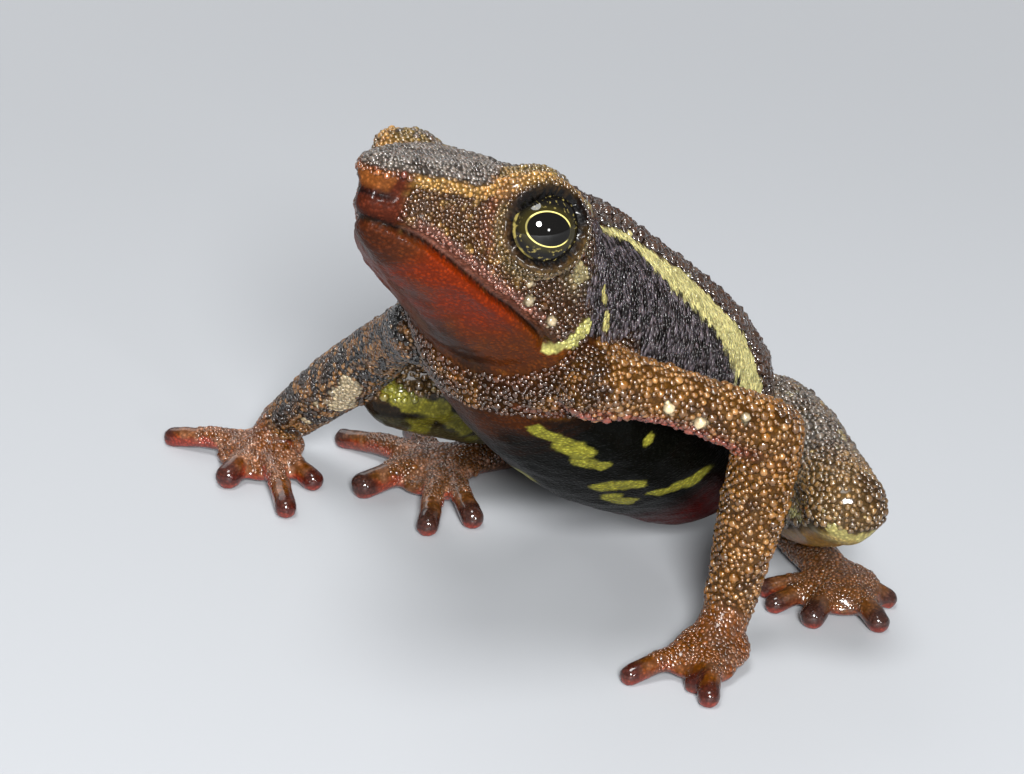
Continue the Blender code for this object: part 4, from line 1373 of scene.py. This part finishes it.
@dataclass
class Warts:
    """Thousands of wet granules, joined in a few pieces, sunk into the skin."""

    regions: dict[str, Region]
    markings: Markings
    seed: int = SEED
    around: int = 7
    rows: int = 4
    patch: float = 0.003
    candidates: int = 210000
    most: int = 4600
    spacing: float = 0.72
    cell: float = 0.46
    size_spread: float = 0.27
    size_limits: tuple[float, float] = (0.60, 1.7)
    wobble: float = 0.09
    widths: tuple[float, float] = (0.88, 1.12)
    bare_lid: float = 0.20
    bare_height: float = 0.2
    flank_rods: Place = (0.052, 0.9, 2.8)
    stripe_rods: Place = (0.055, 0.45, 2.4)
    collar_grain: Place = (0.095, 0.65, 1.0)
    rod_stretch: float = 1.5
    rod_reach: float = 1.45
    rod_wetness: float = 0.18
    tones: tuple[float, float] = (0.60, 1.42)
    # Painted shade at each granule's root and painted highlight toward its crown.
    root_painted_shade: float = 0.40
    crown_painted_highlight: float = 0.82

    def unit(self) -> tuple[np.ndarray, np.ndarray]:
        """One granule as a small dome-topped ball: its points and its triangles."""
        shape = bmesh.new()
        bmesh.ops.create_uvsphere(shape, u_segments=self.around, v_segments=self.rows, radius=1.0)
        bmesh.ops.triangulate(shape, faces=shape.faces)
        points = np.array([tuple(vert.co) for vert in shape.verts])
        faces = np.array([[vert.index for vert in face.verts] for face in shape.faces])
        shape.free()
        return points, faces

    def sizes(self, places: np.ndarray, facing: np.ndarray, shares: np.ndarray) -> tuple:
        """Radius, height and stretch of a granule at each place; radius 0 where none grows."""
        count = len(places)
        owner = shares.argmax(axis=1)
        radius, height, stretch = np.zeros(count), np.full(count, 0.5), np.ones(count)
        for index, (name, region) in enumerate(self.regions.items()):
            mine = owner == index
            if not mine.any():
                continue
            if name == "trunk":
                sizes = self.trunk_sizes(region, places[mine], facing[mine])
                radius[mine], height[mine], stretch[mine] = sizes
            else:
                radius[mine], height[mine] = region.grain.radius, region.grain.height
            if isinstance(region, Paw):
                tips = region.tipness(places[mine])
                radius[mine] *= np.where(tips > 0.66, 0.0, 1.0 - 0.35 * tips) * (places[mine, 2] > 0.45)
            if isinstance(region, LegLength):
                under = region.along(places[mine])[2][:, 2]
                bare = under < region.bare_below
                height[mine] = np.where(bare, self.bare_height, height[mine])
                radius[mine] = np.where(bare, 0.0, radius[mine])
        height = np.where(self.markings.marked(places), 0.32, height)
        clear = places[:, 2] > 0.35
        for seat in SEATS:
            _, ahead, beside, _, _ = seat.around(places)
            clear &= ~((beside < seat.opening + self.bare_lid) & (ahead > 0.3))
        return np.where(clear, radius, 0.0), height, stretch

    def trunk_sizes(self, trunk: Trunk, places: np.ndarray, facing: np.ndarray) -> tuple:
        """Granules of the head and trunk."""
        forward, left, up = HEAD.local(places)
        station, angle, _ = trunk.stations(places)
        head = trunk.headness(places) > 0.5
        below = trunk.mouth_up(forward) - up
        rise = facing @ as_array(HEAD.axes()[2])
        ridge_up = np.interp(forward, *np.array(trunk.brow_line)[::-1][:, [0, 2]].T)
        crown = ((up > ridge_up + 0.05) & (rise > 0.2)) | ((np.abs(left) < 1.7) & (rise > 0.6))
        radius = np.where(head, np.where(crown, 0.085, 0.075), 0.15)
        radius = np.where(head & ~crown & (forward < 0.0), 0.09, radius)
        height = np.where(head, 0.75, 0.95)
        stretch = np.ones(len(places))
        middle, half = trunk.stripe_at(station)
        flank = ~head & (angle > middle) & (angle < 98.0)
        striped = ~head & (np.abs(angle - middle) < half + 1.0) & (station > trunk.stripe[0][0])
        collar = ~head & (trunk.collar(places) > 0.5)
        kinds = (flank, self.flank_rods), (striped, self.stripe_rods), (collar, self.collar_grain)
        for here, sizes in kinds:
            radius[here], height[here], stretch[here] = sizes
        smooth = head & ((below > 0.0) | ((forward > 4.45) & (up < ridge_up)))
        smooth |= ~head & (angle > 98.0)
        smooth &= ~collar
        smooth |= head & (np.abs(below) < 0.20) & (forward > -2.4)
        return np.where(smooth, 0.0, radius), np.where(smooth, self.bare_height, height), stretch

    def scatter(self, skin: bmesh.types.BMesh, shares: np.ndarray) -> Growth:
        """Random places on the skin, closer together where the granules are small.

        Args:
            skin: the skin.
            shares: each region's share of each of its points.

        Returns:
            The candidates, with no colour yet.
        """
        rng = np.random.default_rng(self.seed)
        points, normals = skin_arrays(skin)
        faces = np.array([[vert.index for vert in face.verts] for face in skin.faces])
        radius, _, stretch = self.sizes(points, normals, shares)
        room = np.where(radius > 0.0, 1.0 / np.maximum(radius, 0.03) ** 2 / stretch ** 0.5, 0.0)
        first, second, third = (points[faces[:, corner]] for corner in range(3))
        areas = np.linalg.norm(np.cross(second - first, third - first), axis=1)
        wanted = areas * room[faces].mean(axis=1)
        chosen = rng.choice(len(faces), self.candidates, p=wanted / wanted.sum())
        share = np.sqrt(rng.random(self.candidates))
        split = rng.random(self.candidates)
        weights = np.stack([1.0 - share, share * (1.0 - split), share * split], 1)
        corner = faces[chosen]
        places = (points[corner] * weights[:, :, None]).sum(axis=1)
        facing = (normals[corner] * weights[:, :, None]).sum(axis=1)
        facing /= np.linalg.norm(facing, axis=1)[:, None]
        mixed_shares = (shares[corner] * weights[:, :, None]).sum(axis=1)
        radius, height, stretch = self.sizes(places, facing, mixed_shares)
        spread = np.exp(rng.normal(0.0, self.size_spread, self.candidates))
        radius *= np.clip(spread, *self.size_limits)
        return Growth(places, facing, mixed_shares, radius, height, stretch, np.zeros_like(places))

    def with_marked(self, growth: Growth) -> Growth:
        """The candidates with the photo's own warts put first."""
        chosen, sizes = [], []
        for spot in self.markings.spots:
            if spot.wart:
                chosen.append(int(np.linalg.norm(growth.places - spot.start, axis=1).argmin()))
                sizes.append(spot.radius)
        order = np.concatenate([chosen, np.setdiff1d(np.arange(len(growth.radius)), chosen)]).astype(int)
        growth = growth.only(order)
        growth.radius[:len(chosen)] = sizes
        growth.height[:len(chosen)] = 0.7
        growth.stretch[:len(chosen)] = 1.0
        return growth

    def spaced(self, growth: Growth) -> Growth:
        """The candidates that keep clear of each other, by a walk over a grid of cells."""
        grid: dict[tuple[int, ...], list[tuple[float, ...]]] = {}
        kept = []
        rods = growth.stretch > self.rod_stretch
        reach = growth.radius * np.where(rods, self.rod_reach, 1.0) * self.spacing
        keys = np.floor(growth.places / self.cell).astype(int).tolist()
        for index, (place, size, key) in enumerate(zip(growth.places.tolist(), reach.tolist(), keys)):
            if size <= 0.0 or self.crowded(grid, key, place, size):
                continue
            grid.setdefault(tuple(key), []).append((*place, size))
            kept.append(index)
        return growth.only(np.array(kept))

    def crowded(self, grid: dict, key: list[int], place: list[float], size: float) -> bool:
        """Whether a granule already grows too close to the place."""
        for step in NEIGHBOURS:
            for x, y, z, other in grid.get((key[0] + step[0], key[1] + step[1], key[2] + step[2]), ()):
                gap = size + other
                if (place[0] - x) ** 2 + (place[1] - y) ** 2 + (place[2] - z) ** 2 < gap * gap:
                    return True
        return False

    def flow(self, facing: np.ndarray) -> np.ndarray:
        """The direction along which granules are stretched: down the flank, a little forward."""
        down = np.array((0.0, -0.35, -0.94))
        along = down - facing * (facing @ down)[:, None]
        return along / np.maximum(np.linalg.norm(along, axis=1), 1e-6)[:, None]

    def tinted(self, growth: Growth) -> np.ndarray:
        """The granules' colours: the skin's own, some paler, and grey rods on the flank."""
        rng = np.random.default_rng(self.seed + 3)
        colours = self.markings.paint(growth.places, growth.facing, growth.shares)
        owner = growth.shares.argmax(axis=1)
        chance = rng.random(len(owner))
        arms, legs = (self.markings.owned(owner, words) for words in (("arm",), ("thigh", "shank")))
        colours = mixed(colours, tint(Tint.ARM_LIGHT), arms * (chance > 0.86) * 0.6)
        colours = mixed(colours, tint(Tint.LEG_PALE), legs * (chance > 0.95) * 0.18)
        trunk = self.regions["trunk"]
        station, angle, _ = trunk.stations(growth.places)
        middle, half = trunk.stripe_at(station)
        flank = (owner == 0) & (trunk.headness(growth.places) < 0.5) & (angle > middle + half + 2.0)
        flank &= (angle < 100.0) & (trunk.collar(growth.places) < 0.5)
        colours = mixed(colours, tint(Tint.FLANK_GRAIN), flank * (0.05 + 0.85 * (chance > 0.60)))
        for spot in self.markings.spots:
            near = spot.distance(growth.places) < spot.radius
            colours = mixed(colours, spot.colour, near * 0.85)
        return colours

    def build(self, skin: bmesh.types.BMesh, shares: np.ndarray, unwrap: Unwrap,
              finish: bpy.types.Material, shift: Vector) -> None:
        """Scatter, shape, paint and join the granules.

        Args:
            skin: the skin that they grow on.
            shares: each region's share of each of its points.
            unwrap: the unwrap of the skin.
            finish: the granules' material.
            shift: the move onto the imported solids.
        """
        rng = np.random.default_rng(self.seed + 2)
        growth = self.spaced(self.with_marked(self.scatter(skin, shares)))
        growth.colour = self.tinted(growth)
        owner = growth.shares.argmax(axis=1)
        head = self.regions["trunk"].headness(growth.places) > 0.5
        own, arms = (self.markings.owned(owner, words) for words in (("trunk",), ("arm", "hand")))
        groups = {
            ("warts_head", "skin_head"): own & head,
            ("warts_trunk", "skin_body"): own & ~head,
            ("warts_arms", "skin_limb"): arms,
            ("warts_legs", "skin_limb"): ~own & ~arms,
        }
        for (name, slot), member in groups.items():
            rows = np.flatnonzero(member)
            for part, start in enumerate(range(0, len(rows), self.most)):
                label = name if len(rows) <= self.most else f"{name}_{part + 1}"
                mesh = self.joined(label, growth.only(rows[start:start + self.most]), rng, unwrap)
                finished(label, mesh, finish, shift)

    def joined(self, name: str, growth: Growth, rng: np.random.Generator,
               unwrap: Unwrap) -> bpy.types.Mesh:
        """Many granules as one mesh.

        Args:
            name: the mesh's name.
            growth: the granules.
            rng: the random source.
            unwrap: the unwrap of the skin, for each granule's patch.

        Returns:
            The mesh, painted and unwrapped.
        """
        unit, faces = self.unit()
        count, size = len(growth.radius), len(unit)
        along = self.flow(growth.facing)
        across = np.cross(growth.facing, along)
        local = unit[None] * rng.normal(1.0, self.wobble, (count, size, 1))
        wide = growth.radius[:, None] * rng.uniform(*self.widths, (count, 1))
        long = (growth.radius * growth.stretch)[:, None]
        tall = (growth.radius * growth.height)[:, None]
        points = (
            growth.places[:, None, :]
            + along[:, None, :] * (local[:, :, 0] * long)[:, :, None]
            + across[:, None, :] * (local[:, :, 1] * wide)[:, :, None]
            + growth.facing[:, None, :] * (local[:, :, 2] * tall)[:, :, None]
        )
        # Painted shade at the granule's root, rising to a painted highlight on its crown, times a random
        # tone.
        crown = np.clip(unit[:, 2], 0.0, 1.0)[None, :, None]
        tone = rng.uniform(*self.tones, (count, 1, 1))
        light = (self.root_painted_shade + self.crown_painted_highlight * crown) * tone
        painted = np.clip(growth.colour[:, None, :] * light, 0.0, 1.0)
        mesh = bpy.data.meshes.new(name)
        table = (faces[None] + (np.arange(count) * size)[:, None, None]).reshape(-1, 3)
        mesh.from_pydata(points.reshape(-1, 3).tolist(), [], table.tolist())
        wetness = np.where(growth.stretch > self.rod_stretch, self.rod_wetness, 1.0)
        write_colours(mesh, painted.reshape(-1, 3), np.repeat(wetness, size))
        roots = np.array([unwrap.at(place) for place in growth.places])
        uvs = roots[:, None, :] + unit[None, :, :2] * (self.patch / 2)
        layer = mesh.uv_layers.new(name="OFBake")
        layer.data.foreach_set("uv", uvs.reshape(-1, 2)[table.ravel()].astype(np.float32).ravel())
        return mesh


class Nodes:
    """A small helper that lays out shader nodes."""

    def __init__(self, name: str) -> None:
        """Start a material with a Principled shader."""
        self.material = bpy.data.materials.new(name)
        self.material.use_nodes = True
        self.tree = self.material.node_tree
        self.shader = self.tree.nodes["Principled BSDF"]

    def add(self, kind: str, values: dict | None = None, **settings) -> bpy.types.Node:
        """A node with its options and constant inputs."""
        node = self.tree.nodes.new(kind)
        for key, value in settings.items():
            setattr(node, key, value)
        for key, value in (values or {}).items():
            node.inputs[key].default_value = value
        return node

    def link(self, source: bpy.types.NodeSocket, target: bpy.types.NodeSocket) -> None:
        """Join two sockets."""
        self.tree.links.new(source, target)

    def feed(self, target: bpy.types.NodeSocket, value) -> None:
        """Join a socket, or set a number, a vector or a colour."""
        if isinstance(value, bpy.types.NodeSocket):
            self.link(value, target)
        elif target.type == "RGBA":
            target.default_value = (*value, 1.0)
        else:
            target.default_value = value

    def surface(self, values: dict) -> bpy.types.Material:
        """The material, with the shader's inputs fed."""
        for name, value in values.items():
            self.feed(self.shader.inputs[name], value)
        return self.material

    def place(self) -> bpy.types.NodeSocket:
        """The place on the object."""
        return self.add("ShaderNodeTexCoord").outputs["Object"]

    def noise(self, place: bpy.types.NodeSocket, scale: float, detail: float) -> bpy.types.NodeSocket:
        """Cloudy noise from 0 to 1."""
        node = self.add("ShaderNodeTexNoise", {"Scale": scale, "Detail": detail})
        self.link(place, node.inputs["Vector"])
        return node.outputs["Fac"]

    def bump(self, height: bpy.types.NodeSocket, strength: float, relief: float) -> bpy.types.NodeSocket:
        """The directions of a surface roughened by a height."""
        node = self.add("ShaderNodeBump", {"Strength": strength, "Distance": relief})
        self.link(height, node.inputs["Height"])
        return node.outputs["Normal"]

    def blend(self, share: bpy.types.NodeSocket, under, over) -> bpy.types.NodeSocket:
        """Two colours blended by a share."""
        node = self.add("ShaderNodeMix", data_type="RGBA")
        for number, value in ((0, share), (6, under), (7, over)):
            self.feed(node.inputs[number], value)
        return node.outputs[2]

    def math(self, operation: str, first, second=0.0) -> bpy.types.NodeSocket:
        """One step of arithmetic on two sockets or numbers."""
        node = self.add("ShaderNodeMath", operation=operation)
        for socket, value in zip(node.inputs, (first, second)):
            self.feed(socket, value)
        return node.outputs[0]

    def product(self, first, second, *more) -> bpy.types.NodeSocket:
        """Sockets or numbers multiplied together."""
        result = self.math("MULTIPLY", first, second)
        for factor in more:
            result = self.math("MULTIPLY", result, factor)
        return result

    def ramp(self, source: bpy.types.NodeSocket, low: float, high: float, start: float, end: float):
        """A smooth change from start to end as the source goes from low to high."""
        node = self.add("ShaderNodeMapRange", interpolation_type="SMOOTHSTEP")
        self.link(source, node.inputs["Value"])
        for key, value in (("From Min", low), ("From Max", high), ("To Min", start), ("To Max", end)):
            node.inputs[key].default_value = value
        return node.outputs["Result"]

    def times(self, colour: bpy.types.NodeSocket, factor: bpy.types.NodeSocket) -> bpy.types.NodeSocket:
        """A colour made lighter or darker by a number."""
        node = self.add("ShaderNodeVectorMath", operation="SCALE")
        self.link(colour, node.inputs[0])
        self.link(factor, node.inputs["Scale"])
        return node.outputs[0]


@dataclass(frozen=True)
class SkinFinish:
    """Wet skin that takes its colour from the markings, pebbled where no granules stand on it."""

    name: str = "wet_skin"
    pebble: float = 7000.0
    grit: float = 16000.0
    relief: float = 0.00003
    crevice_painted_shade: float = 0.62
    roughness: float = 0.40
    wet_roughness: float = 0.12
    shine: float = 0.03

    def material(self) -> bpy.types.Material:
        """The finish as a material."""
        kit = Nodes(self.name)
        marking = kit.add("ShaderNodeAttribute", attribute_name="marking")
        place = kit.place()
        pebble = kit.add("ShaderNodeTexVoronoi", {"Scale": self.pebble}, feature="F1")
        kit.link(place, pebble.inputs["Vector"])
        grit = kit.noise(place, self.grit, 2.0)
        crown = kit.ramp(pebble.outputs["Distance"], 0.10, 0.62, 1.0, 0.0)
        # Painted shade in the crevices between pebbles, and a little painted highlight on their crowns.
        shade = kit.ramp(pebble.outputs["Distance"], 0.15, 0.65, 1.12, self.crevice_painted_shade)
        speck = kit.ramp(grit, 0.35, 0.65, 0.85, 1.15)
        height = kit.math("ADD", crown, kit.product(grit, 0.35))
        return kit.surface({
            "Base Color": kit.times(marking.outputs["Color"], kit.product(shade, speck)),
            "Normal": kit.bump(height, 0.7, self.relief),
            "Roughness": kit.ramp(grit, 0.3, 0.7, self.roughness - 0.06, self.roughness + 0.10),
            "Specular IOR Level": self.shine,
            "Coat Weight": marking.outputs["Alpha"],
            "Coat Roughness": self.wet_roughness,
            "Subsurface Weight": 0.06,
            "Subsurface Radius": (1.0, 0.35, 0.15),
            "Subsurface Scale": 0.0004,
        })


@dataclass(frozen=True)
class WartFinish:
    """Glassy wet granules with a faint grit."""

    name: str = "wet_granules"
    grit: float = 14000.0
    relief: float = 0.000012
    roughness: float = 0.32
    wet_roughness: float = 0.10
    wet_index: float = 1.70
    shine: float = 0.04

    def material(self) -> bpy.types.Material:
        """The finish as a material."""
        kit = Nodes(self.name)
        marking = kit.add("ShaderNodeAttribute", attribute_name="marking")
        grit = kit.noise(kit.place(), self.grit, 2.0)
        speck = kit.ramp(grit, 0.32, 0.68, 0.80, 1.20)
        return kit.surface({
            "Base Color": kit.times(marking.outputs["Color"], speck),
            "Normal": kit.bump(grit, 0.6, self.relief),
            "Roughness": kit.ramp(grit, 0.3, 0.7, self.roughness - 0.05, self.roughness + 0.08),
            "Specular IOR Level": self.shine,
            "Coat Weight": marking.outputs["Alpha"],
            "Coat Roughness": self.wet_roughness,
            "Coat IOR": self.wet_index,
            "Subsurface Weight": 0.15,
            "Subsurface Radius": (1.0, 0.45, 0.20),
            "Subsurface Scale": 0.0002,
        })


@dataclass(frozen=True)
class EyeFinish:
    """Black iris flecked with gold, and a fine gold ring round a wide oval pupil."""

    pupil_width: float = 0.70
    pupil_height: float = 0.52
    ring: float = 0.025
    gold: Place = linear(190, 178, 104)
    fleck: Place = linear(120, 108, 58)
    olive: Place = linear(32, 28, 9)
    black: Place = linear(10, 9, 8)
    fleck_scale: float = 7000.0

    def material(self, seat: EyeSeat, shift: Vector) -> bpy.types.Material:
        """The finish as a material, centred on the eyeball."""
        kit = Nodes("eye_left" if seat.side > 0 else "eye_right")
        place = kit.place()
        look, snout = seat.direction(), HEAD.axes()[0]
        flat = (snout - look * look.dot(snout)).normalized()
        centred = kit.add("ShaderNodeVectorMath", {1: (seat.middle() + shift) * MM}, operation="SUBTRACT")
        kit.link(place, centred.inputs[0])
        reach = []
        for axis in (flat, look.cross(flat) * seat.side):
            dot = kit.add("ShaderNodeVectorMath", {1: axis}, operation="DOT_PRODUCT")
            kit.link(centred.outputs[0], dot.inputs[0])
            reach.append(kit.math("DIVIDE", dot.outputs["Value"], MM))
        ahead = kit.math("DIVIDE", reach[0], self.pupil_width)
        high = kit.math("DIVIDE", reach[1], self.pupil_height)
        oval, disc = self.length(kit, ahead, high), self.length(kit, *reach)
        fleck = kit.noise(place, self.fleck_scale, 3.0)
        front = kit.ramp(ahead, 0.2, 0.9, 0.0, 1.0)

        inner = kit.ramp(oval, 1.0, 1.03, 0.0, 1.0)
        outer = kit.ramp(oval, 1.04 + self.ring, 1.08 + self.ring, 1.0, 0.0)
        rear = kit.ramp(kit.math("ABSOLUTE", high), 0.30, 0.62, 0.03, 1.0)
        ring = kit.product(inner, outer, kit.math("MAXIMUM", rear, kit.product(front, 0.30)))
        rim = kit.product(
            kit.ramp(disc, 0.99, 1.02, 0.0, 1.0), kit.ramp(disc, 1.05, 1.09, 1.0, 0.0), front, 0.9,
            kit.ramp(fleck, 0.40, 0.52, 0.2, 1.0),
        )
        specks = kit.product(kit.ramp(fleck, 0.58, 0.68, 0.0, 1.0), kit.ramp(oval, 1.15, 1.4, 0.0, 0.8))
        glow = kit.product(kit.ramp(oval, 1.05, 1.15, 0.0, 1.0), kit.ramp(oval, 1.15, 1.6, 1.0, 0.0))
        dark = kit.blend(glow, self.black, self.olive)
        iris = kit.blend(kit.math("MAXIMUM", specks, rim), dark, self.fleck)
        return kit.surface({
            "Base Color": kit.blend(ring, iris, self.gold),
            "Roughness": 0.30,
            "Specular IOR Level": 0.0,
            "Coat Weight": 1.0,
            "Coat IOR": 1.33,
            "Coat Roughness": 0.03,
        })

    def length(self, kit: Nodes, first, second) -> bpy.types.NodeSocket:
        """The length of a step along two directions."""
        squares = (kit.math("POWER", part, 2.0) for part in (first, second))
        return kit.math("POWER", kit.math("ADD", *squares), 0.5)


@dataclass(frozen=True)
class FloorFinish:
    """A plain pale floor, paler far from the toad, where less light reaches it."""

    colour: Place = (0.31, 0.32, 0.335)
    far_colour: Place = (0.86, 0.87, 0.89)
    near: float = 0.04
    far: float = 0.30
    roughness: float = 0.6

    def material(self) -> bpy.types.Material:
        """The finish as a material."""
        kit = Nodes("pale_floor")
        away = kit.add("ShaderNodeVectorMath", operation="LENGTH")
        kit.link(kit.place(), away.inputs[0])
        share = kit.ramp(away.outputs["Value"], self.near, self.far, 0.0, 1.0)
        colour = kit.blend(share, self.colour, self.far_colour)
        return kit.surface({"Base Color": colour, "Roughness": self.roughness})


@dataclass
class Eyeball:
    """One eyeball that replaces its solid."""

    seat: EyeSeat
    around: int = 96

    def build(self, shift: Vector) -> bpy.types.Object:
        """The eyeball with its finish."""
        shape = bmesh.new()
        bmesh.ops.create_uvsphere(
            shape, u_segments=self.around, v_segments=self.around // 2, radius=self.seat.radius,
        )
        turn = self.seat.direction().to_track_quat("Z", "Y").to_matrix().to_4x4()
        place = Matrix.Translation(self.seat.middle()) @ turn
        bmesh.ops.transform(shape, verts=shape.verts, matrix=place)
        name = "eyeball_left" if self.seat.side > 0 else "eyeball_right"
        mesh = bpy.data.meshes.new(name)
        shape.to_mesh(mesh)
        shape.free()
        piece = finished(name, mesh, EyeFinish().material(self.seat, shift), shift)
        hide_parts("eye_left" if self.seat.side > 0 else "eye_right")
        return piece


@dataclass(frozen=True)
class Lamp:
    """A round soft light: its place in the toad's frame, its width in millimetres and its watts."""

    name: str
    place: Place
    size: float
    power: float
    target: Place = (0.0, 0.0, 8.0)

    def add(self) -> None:
        """The light, facing the toad."""
        lamp = bpy.data.lights.new(self.name, "AREA")
        lamp.shape = "DISK"
        lamp.size = self.size * MM
        lamp.energy = self.power
        thing = bpy.data.objects.new(self.name, lamp)
        where = Vector(self.place)
        aim = (Vector(self.target) - where).to_track_quat("-Z", "Y").to_matrix().to_4x4()
        thing.matrix_world = Matrix.Translation(where * MM) @ aim
        bpy.context.scene.collection.objects.link(thing)


@dataclass
class Studio:
    """Plain pale floor, soft light and the camera."""

    floor_half: float = 600.0
    lamps: tuple[Lamp, ...] = (
        Lamp("front", (175.0, -205.0, 150.0), 70.0, 2.30),
        Lamp("above", (20.0, -70.0, 260.0), 110.0, 0.54),
        Lamp("behind", (-190.0, 90.0, 190.0), 200.0, 0.16),
        Lamp("side", (239.0, -104.0, 63.0), 26.0, 0.15),
    )
    sky: Place = (0.92, 0.95, 1.0)
    sky_strength: float = 0.28

    def build(self, shift: Vector) -> None:
        """Set up floor, lights, sky and camera."""
        shape = bmesh.new()
        bmesh.ops.create_grid(shape, x_segments=4, y_segments=4, size=self.floor_half * MM)
        mesh = bpy.data.meshes.new("floor")
        shape.to_mesh(mesh)
        shape.free()
        mesh.materials.append(FloorFinish().material())
        floor = bpy.data.objects.new("floor", mesh)
        bpy.context.scene.collection.objects.link(floor)
        for lamp in self.lamps:
            lamp.add()
        world = bpy.data.worlds.new("sky")
        world.use_nodes = True
        sky = world.node_tree.nodes["Background"]
        sky.inputs["Color"].default_value = (*self.sky, 1.0)
        sky.inputs["Strength"].default_value = self.sky_strength
        bpy.context.scene.world = world
        bpy.context.scene.view_settings.view_transform = "Standard"
        PhotoCamera().add(shift)


def found_spots(shape: bmesh.types.BMesh) -> list[Mark]:
    """The photo's spots, each where its pixels meet the skin."""
    tree = BVHTree.FromBMesh(shape)
    camera = PhotoCamera()
    marks = []
    for spot in SPOTS:
        pixels = (spot.pixel, spot.end or spot.pixel)
        hits = [tree.ray_cast(camera.eye(), camera.ray(pixel))[0] for pixel in pixels]
        if None in hits or (hits[0] - hits[1]).length > LONGEST_MARK:
            continue
        mark = Mark(*(as_array(hit) for hit in hits), spot.radius, tint(spot.colour), spot.wart)
        marks.append(mark)
        if spot.mirrored:
            marks.append(mark.mirrored())
    return marks


def main() -> None:
    """Build every piece in order."""
    logging.basicConfig(level=logging.INFO, format="%(message)s")
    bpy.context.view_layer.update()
    low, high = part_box("eye_left")
    shift = (low + high) / (2 * MM) - SEATS[0].middle()
    regions = all_regions()
    skin = Skin(regions).build()
    markings = Markings(regions, found_spots(skin))
    points, normals = skin_arrays(skin)
    shares = markings.shares(points)
    warts = Warts(regions, markings)
    radius, height, _ = warts.sizes(points, normals, shares)
    colours = markings.paint(points, normals, shares)
    # Painted shade: bare skin where tall granules stand is darkened as if shaded between them.
    colours = colours * np.where((radius > 0.0) & (height > 0.5), SHADE_BETWEEN_GRANULES, 1.0)[:, None]
    finish = SkinFinish().material()
    mesh = bpy.data.meshes.new("skin")
    skin.to_mesh(mesh)
    write_colours(mesh, colours, markings.wetness(points, shares))
    warts.build(skin, shares, Unwrap(mesh), WartFinish().material(), shift)
    skin.free()
    piece = finished("skin", mesh, finish, shift)
    flesh = [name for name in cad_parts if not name.startswith("eye_")]
    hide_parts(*flesh)
    for seat in SEATS:
        Eyeball(seat).build(shift)
    Studio().build(shift)


if __name__ == "__main__":
    main()
